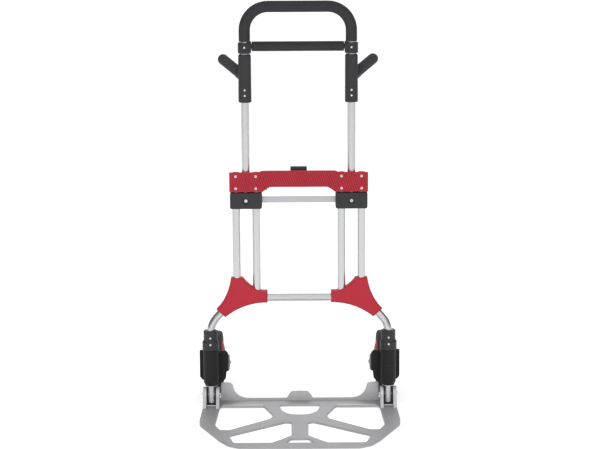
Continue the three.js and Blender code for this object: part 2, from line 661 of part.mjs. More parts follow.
// An arm as seen from the side: deep at the web, tapering to a round boss at the axle.
function armOutline() {
  const outline = new THREE.Shape();
  outline.moveTo(FORK_WEB_FRONT, FORK_BOTTOM);
  outline.absarc(AXLE_Y, WHEEL_R, FORK_BOSS_R, -Math.PI * 0.6, Math.PI * 0.45);
  outline.lineTo(FORK_WEB_BACK + 20, FORK_TOP - 8);
  outline.lineTo(FORK_WEB_FRONT, FORK_TOP);
  outline.closePath();
  return outline;
}

// A barrel that turns on the kingpin, a web behind it and two arms that hold the axle's ends.
function carrier(side) {
  const outer = -LEG_X + FORK_OUTER_U;
  const inner = -LEG_X + FORK_INNER_U;
  const height = CARRIER_TOP - CARRIER_BOTTOM;
  const neck = BARREL_R - 5;
  const shape = turned(
    [[0, 0], [BARREL_R - 7, 0], [BARREL_R - 2, 5], [BARREL_R, 12], [BARREL_R, height], [0, height]],
    v(-LEG_X, 0, CARRIER_BOTTOM),
  )
    .add(slab(armOutline(), "YZ", outer, outer + FORK_ARM, 1.5, 5))
    .add(slab(armOutline(), "YZ", inner - FORK_ARM, inner, 1.5, 5))
    .add(block(outer + 1, inner - 1, FORK_WEB_FRONT, FORK_WEB_BACK, FORK_BOTTOM, FORK_TOP - 4))
    .add(block(-LEG_X - neck, -LEG_X + neck, 0, FORK_WEB_FRONT + 1, FORK_BOTTOM, FORK_TOP - 4))
    .subtract(upright(-LEG_X, 0, CARRIER_BOTTOM - 1, CARRIER_TOP + 1, KINGPIN_R + GAP))
    .subtract(crosswise(outer - 1, inner + 1, AXLE_Y, WHEEL_R, AXLE_R + GAP));
  return part("wheel_carrier_" + side, shape, blackPlastic);
}

function axle(side) {
  const outer = -LEG_X + FORK_OUTER_U - GAP;
  const inner = -LEG_X + FORK_INNER_U + GAP;
  const shape = crosswise(outer - 1, inner + 5, AXLE_Y, WHEEL_R, AXLE_R)
    .add(crosswise(outer - 2, outer, AXLE_Y, WHEEL_R, AXLE_R + 3, 12))
    .add(crosswise(inner, inner + 3, AXLE_Y, WHEEL_R, AXLE_R + 3, 12));
  return part("wheel_axle_" + side, shape, steel);
}

// ---------------------------------------------------------------- wheel

function tyre(side) {
  const half = TYRE_WIDTH / 2;
  const rim = WHEEL_R - TYRE_DEPTH + GAP;
  const shape = turned(
    [[0, -half + 3], [rim, -half + 3], [WHEEL_R - 12, -half], [WHEEL_R - 3, -half + 5], [WHEEL_R, -half + 13],
      [WHEEL_R, half - 13], [WHEEL_R - 3, half - 5], [WHEEL_R - 12, half], [rim, half - 3], [0, half - 3]],
    v(wheelX, AXLE_Y, WHEEL_R), true, WHEEL_SIDES,
  ).subtract(crosswise(wheelX - half - 1, wheelX + half + 1, AXLE_Y, WHEEL_R, rim, WHEEL_SIDES));
  return part("tyre_" + side, shape, tyreRubber);
}

// A dished wheel: its wall bulges inwards from the rim to the boss, and is open on the outer side.
function wheelHub(side) {
  const half = HUB_WIDTH / 2;
  const rim = WHEEL_R - TYRE_DEPTH - GAP;
  const boss = WHEEL_BORE_R + 12;
  const bulge = [[rim, HUB_RIM_HALF], [rim - 6, HUB_RIM_HALF + 2], [boss + 22, half - 4], [boss, half]];
  const outside = [[boss, -half], [boss + 4, half - 10], [boss + 22, half - 12], [rim - 8, HUB_RIM_HALF - 6],
    [rim - 5, -HUB_RIM_HALF], [rim, -HUB_RIM_HALF]];
  const profile = [[0, -half], ...outside, ...bulge, [0, half]];
  const shape = turned(profile, v(wheelX, AXLE_Y, WHEEL_R), true, WHEEL_SIDES);
  const bore = crosswise(wheelX - half - 1, wheelX + half + 1, AXLE_Y, WHEEL_R, WHEEL_BORE_R);
  return part("wheel_hub_" + side, shape.subtract(bore), redPlastic);
}

// The bush that the wheel turns on. It fills the space between the arms, so it keeps the wheel in its place.
function wheelBush(side) {
  const outer = -LEG_X + FORK_OUTER_U + FORK_ARM + GAP;
  const inner = -LEG_X + FORK_INNER_U - FORK_ARM - GAP;
  const shape = crosswise(outer, inner, AXLE_Y, WHEEL_R, WHEEL_BORE_R - GAP).subtract(
    crosswise(outer - 1, inner + 1, AXLE_Y, WHEEL_R, AXLE_R + GAP),
  );
  return part("wheel_bush_" + side, shape, steel);
}

// ---------------------------------------------------------------- toe plate

function hingePinShape(grow) {
  const outer = -LEG_X - EAR_SLOT_HALF - EAR_OUTER - 3;
  const inner = -LEG_X + EAR_SLOT_HALF + EAR_INNER + 5;
  return crosswise(outer, inner, 0, HINGE_Z, HINGE_PIN_R + grow);
}

const hingePin = (side) => part("hinge_pin_" + side, hingePinShape(0), steel);

// The cast plate's outline, and its windows, from the rear to the front.
function plateOutline() {
  const right = [[PLATE_HALF_REAR, FENCE_BACK], [PLATE_HALF_REAR, -20], [PLATE_HALF, -165],
    [PLATE_HALF - 4, -207], [PLATE_HALF - 70, PLATE_FRONT + 68], [PLATE_HALF - 97, PLATE_FRONT + 21],
    [PLATE_HALF - 133, PLATE_FRONT]];
  const left = right.map(([x, y]) => [-x, y]);
  const outline = rounded([...left, ...right.reverse()], 18);
  const edge = PLATE_HALF;
  const bar = PLATE_FRONT + 43;
  const rearWindow = [[edge - 57, -21], [edge - 54, -60], [edge - 47, -214], [edge - 65, -264],
    [edge - 93, -265], [92, -153], [82, -118], [113, -21]];
  const frontWindow = [[edge - 93, bar + 70], [45, -186], [26, -189], [25, bar + 70], [83, bar],
    [edge - 110, bar]];
  for (const s of [-1, 1]) {
    for (const window of [rearWindow, frontWindow]) {
      outline.holes.push(rounded(window.map(([x, y]) => [s * x, y]), 9, THREE.Path));
    }
  }
  const frontSlot = [[-42, bar], [-27, bar + 38], [27, bar + 38], [42, bar]];
  outline.holes.push(rounded(frontSlot, 3, THREE.Path));
  const middleWindow = new THREE.Path();
  middleWindow.moveTo(-63, -6);
  middleWindow.quadraticCurveTo(-62, -110, 0, -110);
  middleWindow.quadraticCurveTo(62, -110, 63, -6);
  middleWindow.closePath();
  outline.holes.push(middleWindow);
  return outline;
}

// The upright wall behind the load: low along its length, with a tab in the middle and a hump by each leg.
function fenceOutline() {
  const humpEdge = LEG_X - EAR_SLOT_HALF - EAR_INNER - 4;
  const outline = new THREE.Shape();
  outline.moveTo(0, 0);
  outline.lineTo(PLATE_HALF_REAR - 10, 0);
  outline.lineTo(PLATE_HALF_REAR - 10, FENCE_TOP);
  outline.lineTo(humpEdge, FENCE_TOP);
  outline.lineTo(humpEdge, HUMP_TOP);
  outline.lineTo(humpEdge - 24, HUMP_TOP);
  outline.quadraticCurveTo(humpEdge - 36, HUMP_TOP, humpEdge - 38, HUMP_TOP - 12);
  outline.quadraticCurveTo(humpEdge - 44, FENCE_TOP + 2, humpEdge - 88, FENCE_TOP);
  outline.lineTo(40, FENCE_TOP);
  outline.lineTo(25, TAB_TOP);
  outline.lineTo(0, TAB_TOP);
  const half = outline.getPoints(4);
  const other = half.slice(1, -1).map((p) => new THREE.Vector2(-p.x, p.y)).reverse();
  return new THREE.Shape([...half, ...other]);
}

// An ear of the hinge, as seen from the side: round about the pin and running down into the plate.
function earOutline() {
  const outline = new THREE.Shape();
  outline.moveTo(-48, 1);
  outline.lineTo(FENCE_BACK - FENCE_THICK, 1);
  outline.lineTo(EAR_R, HINGE_Z - 14);
  outline.absarc(0, HINGE_Z, EAR_R, 0, Math.PI);
  outline.lineTo(-EAR_R, HINGE_Z - 10);
  outline.closePath();
  return outline;
}

function toePlate() {
  let shape = slab(plateOutline(), "XY", 0, PLATE_THICK, 0, 3);
  shape = shape.add(slab(fenceOutline(), "XZ", FENCE_BACK - FENCE_THICK, FENCE_BACK, 0, 4));
  for (const s of [-1, 1]) {
    const leg = s * LEG_X;
    // the slot that the foot of the leg stands in, open at the front for the foot block to turn
    const slot = EAR_SLOT_HALF;
    shape = shape.subtract(block(leg - slot, leg + slot, -17, FENCE_BACK - FENCE_THICK - 2, -1, HUMP_TOP));
    const outer = s * (LEG_X + EAR_SLOT_HALF);
    const inner = s * (LEG_X - EAR_SLOT_HALF);
    for (const [a, b] of [[outer, outer + s * EAR_OUTER], [inner - s * EAR_INNER, inner]]) {
      shape = shape.add(slab(earOutline(), "YZ", Math.min(a, b), Math.max(a, b), 0, 8));
    }
    shape = shape.subtract(crosswise(leg - 60, leg + 60, 0, HINGE_Z, HINGE_PIN_R + GAP));
  }
  return part("toe_plate", shape, castAluminium);
}

// ---------------------------------------------------------------- assembly

function sidedPieces(side) {
  const pieces = new THREE.Group();
  pieces.add(outerTube(side), innerTube(side), ...bracketShells(side));
  pieces.add(legCollar(side), kingpin(side), washer(side), footBlock(side));
  pieces.add(gripCollar(side), ...sleeveAndSideGrip(side), slider(side), sliderScrew(side));
  pieces.add(carrier(side), axle(side), tyre(side), wheelHub(side), wheelBush(side), hingePin(side));
  return pieces;
}

const truck = new THREE.Group();
const rightSide = sidedPieces("right");
rightSide.scale.x = -1;
truck.add(sidedPieces("left"), rightSide);
truck.add(crossTube(), ...beamShells(), ...beamScrews());
truck.add(releaseButton(), buttonSpring(), latchBar());
truck.add(handleTube(), topGrip(), ...crossGrip(), sliderCrossbar(), toePlate());

export default truck;
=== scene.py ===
# A folding hand truck in a pale studio: the looks of every piece, put together in the order of assembly.
# Metres, +Z up, the toe plate towards -Y and the wheels towards +Y. Each piece is drawn where it sits.
import math

import bmesh
import bpy
from mathutils import Matrix, Vector


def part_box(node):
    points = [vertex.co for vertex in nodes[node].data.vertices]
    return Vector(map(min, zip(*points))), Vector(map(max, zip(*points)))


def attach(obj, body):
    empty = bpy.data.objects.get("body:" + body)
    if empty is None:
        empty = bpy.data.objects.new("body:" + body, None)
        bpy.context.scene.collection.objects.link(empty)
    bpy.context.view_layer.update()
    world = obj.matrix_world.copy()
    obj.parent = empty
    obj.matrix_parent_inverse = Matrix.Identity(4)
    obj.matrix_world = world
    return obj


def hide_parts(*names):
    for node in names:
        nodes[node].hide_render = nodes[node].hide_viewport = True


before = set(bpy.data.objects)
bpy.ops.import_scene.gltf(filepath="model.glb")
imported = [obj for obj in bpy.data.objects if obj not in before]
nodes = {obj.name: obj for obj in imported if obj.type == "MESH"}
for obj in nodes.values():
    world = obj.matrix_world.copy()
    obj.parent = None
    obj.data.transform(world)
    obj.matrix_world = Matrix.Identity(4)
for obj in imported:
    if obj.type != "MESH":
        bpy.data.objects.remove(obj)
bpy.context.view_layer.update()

MM = 0.001
X, Y, Z = Vector((1, 0, 0)), Vector((0, 1, 0)), Vector((0, 0, 1))
SIDES = {"left": -1, "right": 1}


# ---------------------------------------------------------------- studio
# A pale seamless floor, large soft lamps and a white surround that falls off to grey at left and right.
# The camera stands six metres in front and looks a little down on the truck.
scene = bpy.context.scene
scene.view_settings.view_transform = "Standard"

camera_data = bpy.data.cameras.new("studio_camera")
camera_data.sensor_width = 36
camera_data.lens = 118.49
camera = bpy.data.objects.new("studio_camera", camera_data)
camera.location = (0.0035, -6.0, 1.836)
tilt = Matrix.Rotation(math.radians(90 - 11.763), 3, "X") @ Matrix.Rotation(math.radians(-0.31), 3, "Z")
camera.rotation_euler = tilt.to_euler()
scene.collection.objects.link(camera)
scene.camera = camera

world = bpy.data.worlds.new("studio_surround")
world.use_nodes = True
sky = world.node_tree
direction = sky.nodes.new("ShaderNodeTexCoord").outputs[0]
parts = sky.nodes.new("ShaderNodeSeparateXYZ")
sky.links.new(direction, parts.inputs[0])
sideways = sky.nodes.new("ShaderNodeMath")
sideways.operation = "ABSOLUTE"
sky.links.new(parts.outputs[0], sideways.inputs[0])
falloff = sky.nodes.new("ShaderNodeMapRange")
falloff.interpolation_type = "SMOOTHSTEP"
for number, value in enumerate((0.22, 0.85, 1.0, 0.16), 1):
    falloff.inputs[number].default_value = value
sky.links.new(sideways.outputs[0], falloff.inputs[0])
sky.links.new(falloff.outputs[0], sky.nodes["Background"].inputs["Color"])
sky.nodes["Background"].inputs["Strength"].default_value = 1.0
scene.world = world

floor_mesh = bmesh.new()
bmesh.ops.create_grid(floor_mesh, x_segments=1, y_segments=1, size=14)
floor_data = bpy.data.meshes.new("studio_floor")
floor_mesh.to_mesh(floor_data)
floor_mesh.free()
floor = bpy.data.objects.new("studio_floor", floor_data)
floor_paint = bpy.data.materials.new("studio_floor")
floor_paint.use_nodes = True
pale = {"Base Color": (0.9, 0.9, 0.9, 1), "Roughness": 0.9}
pale |= {"Emission Color": (1, 1, 1, 1), "Emission Strength": 0.42}
for key, value in pale.items():
    floor_paint.node_tree.nodes["Principled BSDF"].inputs[key].default_value = value
floor.data.materials.append(floor_paint)
scene.collection.objects.link(floor)


def soft_lamp(name, place, aim, size, watts):
    lamp = bpy.data.lights.new(name, "AREA")
    lamp.shape = "RECTANGLE"
    lamp.size, lamp.size_y = size
    lamp.energy = watts
    holder = bpy.data.objects.new(name, lamp)
    holder.location = place
    holder.rotation_euler = (Vector(aim) - Vector(place)).to_track_quat("-Z", "Y").to_euler()
    scene.collection.objects.link(holder)


soft_lamp("key_lamp", (-2.6, -3.2, 3.4), (0, 0, 0.6), (2.2, 2.2), 42)
soft_lamp("fill_lamp", (3.0, -2.6, 2.2), (0, 0, 0.6), (2.4, 2.4), 22)
soft_lamp("back_lamp", (0.4, 3.4, 3.0), (0, 0, 0.7), (3.0, 1.6), 20)


# ---------------------------------------------------------------- frame tubes
# Five drawn aluminium tubes, 25 mm across with a 2 mm wall. The outer pair bends out and down into the legs.
# The drawing leaves fine lines along each tube, and handling leaves a few duller patches.
class Wire:
    """A shader socket that can be added, multiplied and compared like a number."""

    def __init__(self, looks, socket):
        self.looks, self.socket = looks, socket

    def _math(self, operation, *values, clamp=False):
        settings = {"operation": operation, "use_clamp": clamp}
        return self.looks.node("ShaderNodeMath", settings, dict(enumerate(values)))[0]

    def __add__(self, other):
        return self._math("ADD", self, other)

    __radd__ = __add__

    def __sub__(self, other):
        return self._math("SUBTRACT", self, other)

    def __rsub__(self, other):
        return self._math("SUBTRACT", other, self)

    def __mul__(self, other):
        return self._math("MULTIPLY", self, other)

    __rmul__ = __mul__

    def __gt__(self, other):
        return self._math("GREATER_THAN", self, other)

    def held(self):
        return self._math("ADD", self, 0.0, clamp=True)


class Looks:
    def __init__(self, name):
        self.material = bpy.data.materials.new(name)
        self.material.use_nodes = True
        self.tree = self.material.node_tree
        self.shader = self.tree.nodes["Principled BSDF"]

    def node(self, kind, settings=None, inputs=None):
        made = self.tree.nodes.new(kind)
        for key, value in (settings or {}).items():
            if key == "stops":
                ramp = made.color_ramp
                for place, colour in value[2:]:
                    ramp.elements.new(place)
                for element, (place, colour) in zip(ramp.elements, sorted(value, key=lambda stop: stop[0])):
                    element.position, element.color = place, colour
            else:
                setattr(made, key, value)
        for key, value in (inputs or {}).items():
            self.feed(made.inputs[key], value)
        return [Wire(self, socket) for socket in made.outputs]

    def feed(self, socket, value):
        if isinstance(value, Wire):
            self.tree.links.new(value.socket, socket)
        else:
            socket.default_value = value

    def place(self, scale=(1, 1, 1)):
        at = self.node("ShaderNodeTexCoord")[3]
        return self.node("ShaderNodeMapping", {}, {"Vector": at, "Scale": scale})[0]

    def noise(self, where, scale, detail=3.0, roughness=0.5):
        inputs = {"Vector": where, "Scale": scale, "Detail": detail, "Roughness": roughness}
        return self.node("ShaderNodeTexNoise", {}, inputs)[0]

    def ramp(self, value, *stops):
        return self.node("ShaderNodeValToRGB", {"stops": stops}, {"Fac": value})[0]

    def mix(self, factor, a, b):
        return self.node("ShaderNodeMix", {"data_type": "RGBA"}, {0: factor, 6: a, 7: b})[2]

    def worn_edges(self, radius):
        """1 along outer edges, 0 elsewhere, from how far a rounded normal leans away from the true one."""
        soft = self.node("ShaderNodeBevel", {"samples": 6}, {"Radius": radius})[0]
        plain = self.node("ShaderNodeNewGeometry")[1]
        lean = self.node("ShaderNodeVectorMath", {"operation": "DOT_PRODUCT"}, {0: soft, 1: plain})[1]
        return ((1 - lean) * 6).held()

    def finish(self, colour, roughness, metallic=0.0, height=None, depth=0.0002, **still):
        self.feed(self.shader.inputs["Base Color"], colour)
        self.feed(self.shader.inputs["Roughness"], roughness)
        self.feed(self.shader.inputs["Metallic"], metallic)
        if height is not None:
            bump = self.node("ShaderNodeBump", {}, {"Height": height, "Distance": depth, "Strength": 1.0})[0]
            self.feed(self.shader.inputs["Normal"], bump)
        for key, value in still.items():
            self.shader.inputs[key.replace("_", " ")].default_value = value
        return self.material


def drawn_aluminium(name, lines, tint=(0.62, 0.625, 0.64)):
    """lines is the scale along X, Y and Z: small along the tube, large across it."""
    looks = Looks(name)
    streaks = looks.noise(looks.place(lines), 9.0, 4.0, 0.65)
    patches = looks.noise(looks.place(), 7.0, 3.0)
    dark = (*[c * 0.86 for c in tint], 1)
    colour = looks.mix(looks.ramp(streaks, (0.3, (0, 0, 0, 1)), (0.7, (1, 1, 1, 1))), dark, (*tint, 1))
    roughness = 0.2 + streaks * 0.08 + patches * 0.06
    return looks.finish(colour, roughness, 1.0, streaks, 0.00006)


upright_aluminium = drawn_aluminium("drawn_aluminium_upright", (60, 60, 1.2))
level_aluminium = drawn_aluminium("drawn_aluminium_level", (1.2, 60, 60))


def ring(mesh, radius, at, facing, sides=32):
    """An open circle to sweep, as its edges. facing is the way that the sweep starts."""
    turn = Z.rotation_difference(Vector(facing)).to_matrix().to_4x4()
    made = bmesh.ops.create_circle(mesh, segments=sides, radius=radius, matrix=Matrix.Translation(at) @ turn)
    return list({edge for vert in made["verts"] for edge in vert.link_edges})


def run(mesh, edges, step):
    """Pushes a ring along a straight run, and returns the new ring."""
    made = bmesh.ops.extrude_edge_only(mesh, edges=edges)["geom"]
    bmesh.ops.translate(mesh, vec=step, verts=[g for g in made if isinstance(g, bmesh.types.BMVert)])
    return [g for g in made if isinstance(g, bmesh.types.BMEdge) and g.is_boundary]


def bend(mesh, edges, centre, axis, angle, steps=10):
    """Turns a ring round a bend, and returns the new ring."""
    made = bmesh.ops.spin(mesh, geom=edges, cent=centre, axis=axis, angle=angle, steps=steps)["geom_last"]
    return [g for g in made if isinstance(g, bmesh.types.BMEdge)]


def close(mesh, edges):
    return bmesh.ops.edgeloop_fill(mesh, edges=edges)["faces"]


WELD = 0.000004


def piece(mesh, name, material, body, stands_for=(), crease=38):
    """Makes the mesh an object of the truck: normals out, smooth with creases, riding on its body."""
    bmesh.ops.remove_doubles(mesh, verts=mesh.verts, dist=WELD)
    bmesh.ops.recalc_face_normals(mesh, faces=mesh.faces)
    data = bpy.data.meshes.new(name)
    mesh.to_mesh(data)
    mesh.free()
    data.shade_smooth()
    data.set_sharp_from_angle(angle=math.radians(crease))
    made = bpy.data.objects.new(name, data)
    data.materials.append(material)
    scene.collection.objects.link(made)
    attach(made, body)
    if stands_for:
        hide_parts(*stands_for)
    even = made.modifiers.new("even_shading", "WEIGHTED_NORMAL")
    even.keep_sharp = True
    return made


def wall(mesh, thickness):
    """Gives an open skin its wall, inwards."""
    bmesh.ops.recalc_face_normals(mesh, faces=mesh.faces)
    bmesh.ops.solidify(mesh, geom=mesh.faces[:], thickness=thickness)


TUBE_R = 12.5 * MM
TUBE_WALL = 2 * MM
outer_low, outer_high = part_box("outer_tube_right")
inner_low, inner_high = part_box("inner_tube_right")
cross_low, cross_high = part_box("cross_tube")
OUTER_X = 194 * MM
LEG_X = 279 * MM
INNER_X = (inner_low.x + inner_high.x) / 2
LEG_BEND_TOP = 364 * MM
LEG_BEND_LOW = 267 * MM
LEG_BEND_R = 80 * MM
leg_turn = math.atan2(LEG_X - OUTER_X, LEG_BEND_TOP - LEG_BEND_LOW)
bend_reach = LEG_BEND_R * math.tan(leg_turn / 2)

for side, s in SIDES.items():
    tube = bmesh.new()
    top = Vector((s * OUTER_X, 0, outer_high.z))
    upper_bend = Vector((s * OUTER_X, 0, LEG_BEND_TOP + bend_reach))
    slant = Vector((s * (LEG_X - OUTER_X), 0, LEG_BEND_LOW - LEG_BEND_TOP))
    skin = ring(tube, TUBE_R, top, -Z)
    skin = run(tube, skin, upper_bend - top)
    skin = bend(tube, skin, upper_bend + X * s * LEG_BEND_R, Y, -s * leg_turn)
    skin = run(tube, skin, slant.normalized() * (slant.length - 2 * bend_reach))
    lower_bend = Vector((s * LEG_X, 0, LEG_BEND_LOW - bend_reach))
    skin = bend(tube, skin, lower_bend - X * s * LEG_BEND_R, Y, s * leg_turn)
    run(tube, skin, Z * (outer_low.z - lower_bend.z))
    wall(tube, TUBE_WALL)
    piece(tube, f"leg_tube_{side}", upright_aluminium, "frame", [f"outer_tube_{side}"])

    tube = bmesh.new()
    skin = ring(tube, TUBE_R, (s * INNER_X, 0, inner_low.z), Z)
    run(tube, skin, Z * (inner_high.z - inner_low.z))
    wall(tube, TUBE_WALL)
    piece(tube, f"inner_rail_{side}", upright_aluminium, "frame", [f"inner_tube_{side}"])

tube = bmesh.new()
skin = ring(tube, TUBE_R, (cross_low.x, 0, (cross_low.z + cross_high.z) / 2), X)
run(tube, skin, X * (cross_high.x - cross_low.x))
wall(tube, TUBE_WALL)
piece(tube, "lower_cross_tube", level_aluminium, "frame", ["cross_tube"])


# ---------------------------------------------------------------- corner brackets
# Glass-filled red nylon. Two mirrored shells clamp round the bent tube, the inner rail and the cross tube.
# Their edges are well rounded, the sides are drawn in, and a fine parting line runs round the middle.
def moulded_plastic(name, colour, shade, roughness, grain=900, wear=(1, 1, 1, 1), wear_share=0.25,
                    depth=0.00004, sheen=0.4):
    """Satin moulded plastic: fine spark-eroded grain, slight blush in the colour, paler rubbed edges."""
    looks = Looks(name)
    blush = looks.noise(looks.place(), 11.0, 3.0)
    skin = looks.noise(looks.place(), grain, 2.0, 0.6)
    body = looks.mix((blush * 1.6 - 0.3).held(), (*shade, 1), (*colour, 1))
    edge = looks.worn_edges(0.0012)
    scuff = (looks.noise(looks.place(), 60.0, 4.0, 0.7) * 2.4 - 0.7).held()
    colour_out = looks.mix(edge * scuff * wear_share, body, wear)
    rough = roughness + skin * 0.08 + blush * 0.06 - edge * 0.05
    return looks.finish(colour_out, rough, 0.0, skin, depth, Specular_IOR_Level=sheen)


RED, RED_SHADE = (0.49, 0.012, 0.034), (0.41, 0.009, 0.025)
red_nylon = moulded_plastic("red_nylon", RED, RED_SHADE, 0.46, wear=(0.78, 0.26, 0.28, 1))

SEAM = 0.3 * MM
BRACKET_TOP = 420 * MM
BRACKET_HALF_DEPTH = 17 * MM
ARM_HALF = 18.5 * MM
ARM_END = 99 * MM
ARM_MIDDLE = 359 * MM
FOOT_SHARE = 0.6


def curved(a, control, b, steps=12):
    """Points on the curve that leaves a towards control and reaches b from it, without b."""
    a, control, b = Vector(a), Vector(control), Vector(b)
    shares = [k / steps for k in range(steps)]
    return [a * (1 - t) ** 2 + control * 2 * t * (1 - t) + b * t * t for t in shares]


def panel(mesh, outline, lift):
    """A flat face from an outline. lift gives each outline point its place in space."""
    return mesh.faces.new([mesh.verts.new(lift(*point)) for point in outline])


def thicken(mesh, faces, step):
    made = bmesh.ops.extrude_face_region(mesh, geom=faces)["geom"]
    bmesh.ops.translate(mesh, vec=step, verts=[g for g in made if isinstance(g, bmesh.types.BMVert)])
    return [g for g in made if isinstance(g, bmesh.types.BMFace)]


def bevelled(mesh, edges, width, segments=4):
    bmesh.ops.bevel(mesh, geom=edges, offset=width, offset_type="OFFSET", segments=segments, profile=0.5,
                    affect="EDGES", clamp_overlap=True, material=-1)


def round_shell(mesh, outer_face, width, segments, seam_width):
    """Rounds a shell's outer face, and breaks its edges at the seam."""
    bevelled(mesh, list(outer_face.edges), width, segments)
    bevelled(mesh, [e for e in mesh.edges if all(abs(v.co.y) < 2 * SEAM for v in e.verts)], seam_width, 2)


def soften(mesh, width, sharper_than=40, segments=3):
    """Rounds every corner edge that is sharper than an angle."""
    bmesh.ops.remove_doubles(mesh, verts=mesh.verts, dist=WELD)
    bmesh.ops.recalc_face_normals(mesh, faces=mesh.faces)
    limit = math.radians(sharper_than)
    bevelled(mesh, [e for e in mesh.edges if e.calc_face_angle(0) > limit], width, segments)


across = Vector((math.cos(leg_turn), math.sin(leg_turn))) * ARM_HALF
foot = Vector((OUTER_X, LEG_BEND_TOP)) + Vector((LEG_X - OUTER_X, LEG_BEND_LOW - LEG_BEND_TOP)) * FOOT_SHARE
foot_inner, foot_outer = foot - across, foot + across
outer_side, inner_side = OUTER_X + ARM_HALF, OUTER_X - ARM_HALF
arm_top, arm_bottom = ARM_MIDDLE + ARM_HALF, ARM_MIDDLE - ARM_HALF
bracket_outline = (
    curved((outer_side, BRACKET_TOP), (outer_side + 9 * MM, BRACKET_TOP - 65 * MM), foot_outer)
    + curved(foot_outer, (foot_outer + foot_inner) / 2, foot_inner, 1)
    + curved(foot_inner, (INNER_X + 42 * MM, arm_bottom), (ARM_END, arm_bottom))
    + [Vector((ARM_END, arm_bottom)), Vector((ARM_END, arm_top))]
    + curved((INNER_X - 15 * MM, arm_top), (INNER_X + 24 * MM, arm_top + 12 * MM), (inner_side, BRACKET_TOP))
    + [Vector((inner_side, BRACKET_TOP))]
)
for side, s in SIDES.items():
    for part_name, facing in (("front", -1), ("back", 1)):
        shell = bmesh.new()
        face = panel(shell, bracket_outline, lambda x, z: (s * x, facing * SEAM, z))
        outer = thicken(shell, [face], Y * facing * (BRACKET_HALF_DEPTH - SEAM))
        round_shell(shell, outer[0], 6.5 * MM, 6, 0.5 * MM)
        name = f"corner_bracket_{part_name}_{side}"
        piece(shell, f"bracket_shell_{part_name}_{side}", red_nylon, "frame", [name], 45)


# ---------------------------------------------------------------- crossbeam
# The carrying handle: two red shells over the heads of the four frame tubes, with fine slanted ribs for grip.
# The ribs stop short of the edges and leave a plain upright band at each pair of screws.
BEAM_HALF = 214 * MM
BEAM_TOP, BEAM_BOTTOM = 757 * MM, 694 * MM
BEAM_GRIP_TOP, BEAM_GRIP_BOTTOM = 762 * MM, 709 * MM
STEP_Z = 759.5 * MM
ARCH_HALF, SHOULDER = 84 * MM, 111 * MM
BEAM_FRONT, BEAM_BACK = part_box("crossbeam_front")[0].y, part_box("crossbeam_back")[1].y
TOP_SLOPE = 0.18
RIB_PITCH = 7.2 * MM
RIB_WIDE, RIB_PROUD = 1.9 * MM, 0.9 * MM
RIB_LEAN = math.tan(math.radians(19))
RIB_MARGIN = 4.5 * MM
SCREW_X = (194 * MM, 132 * MM)
SCREW_Z = (743 * MM, 705 * MM)

half_beam = (
    curved((ARCH_HALF, BEAM_GRIP_BOTTOM), (ARCH_HALF + 9 * MM, BEAM_GRIP_BOTTOM), (SHOULDER, BEAM_BOTTOM))
    + [Vector((SHOULDER, BEAM_BOTTOM)), Vector((BEAM_HALF, BEAM_BOTTOM)), Vector((BEAM_HALF, BEAM_TOP))]
    + curved((SHOULDER + 18 * MM, BEAM_TOP), (SHOULDER + 11 * MM, BEAM_TOP), (SHOULDER + 7 * MM, STEP_Z), 5)
    + curved((SHOULDER + 7 * MM, STEP_Z), (SHOULDER + 3 * MM, BEAM_GRIP_TOP),
             (SHOULDER - 4 * MM, BEAM_GRIP_TOP), 5)
    + [Vector((SHOULDER - 4 * MM, BEAM_GRIP_TOP))]
)
beam_outline = half_beam + [Vector((-p.x, p.y)) for p in reversed(half_beam)]


def beam_edges(x):
    """The beam's lower and upper edge at a distance from its middle."""
    x = abs(x)
    arch = min(1, max(0, (x - ARCH_HALF) / (SHOULDER - ARCH_HALF)))
    lower = BEAM_GRIP_BOTTOM - (BEAM_GRIP_BOTTOM - BEAM_BOTTOM) * arch ** 1.4
    upper = BEAM_TOP if x > SHOULDER + 7 * MM else BEAM_GRIP_TOP
    return lower, upper


def rib(mesh, x, y):
    """A low rounded ridge that leans across the beam's face."""
    middle = (BEAM_TOP + BEAM_BOTTOM) / 2
    lower, upper = beam_edges(x)
    lower, upper = lower + RIB_MARGIN, upper - RIB_MARGIN - max(0, y) * 2 * TOP_SLOPE
    steps = 8
    turn = Matrix.Diagonal((RIB_WIDE / RIB_PROUD, 1, 1, 1))
    start = bmesh.ops.create_circle(mesh, segments=10, radius=RIB_PROUD, matrix=turn)["verts"]
    section = list({edge for vert in start for edge in vert.link_edges})
    height = upper - lower

    def at(share):
        z = lower + height * share
        return Vector((x - (z - middle) * RIB_LEAN, y, z))

    bmesh.ops.translate(mesh, verts=start, vec=at(0))
    for k in range(steps):
        section = run(mesh, section, at((k + 1) / steps) - at(k / steps))
    close(mesh, section)


def grooved_plastic(name, colour, shade):
    """The red nylon between the ribs, painted darker in the middle of each groove: painted shade where the
    ribs keep the light out.
    """
    looks = Looks(name)
    where = looks.node("ShaderNodeSeparateXYZ", {}, {0: looks.place()})
    along = where[0] + where[2] * RIB_LEAN - (BEAM_TOP + BEAM_BOTTOM) / 2 * RIB_LEAN
    wave = looks.node("ShaderNodeMath", {"operation": "COSINE"}, {0: along * (2 * math.pi / RIB_PITCH)})[0]
    skin = looks.noise(looks.place(), 900, 2.0, 0.6)
    blush = looks.noise(looks.place(), 11.0, 3.0)
    body = looks.mix((blush * 1.6 - 0.3).held(), (*shade, 1), (*colour, 1))
    # painted shade: this mask darkens the red towards the middle of each groove between the ribs
    groove = (0.1 - wave * 0.9).held()
    colour_out = looks.mix(groove * 0.8, body, (*[c * 0.35 for c in shade], 1))
    return looks.finish(colour_out, 0.5 + skin * 0.08, 0.0, skin, 0.00004, Specular_IOR_Level=0.35)


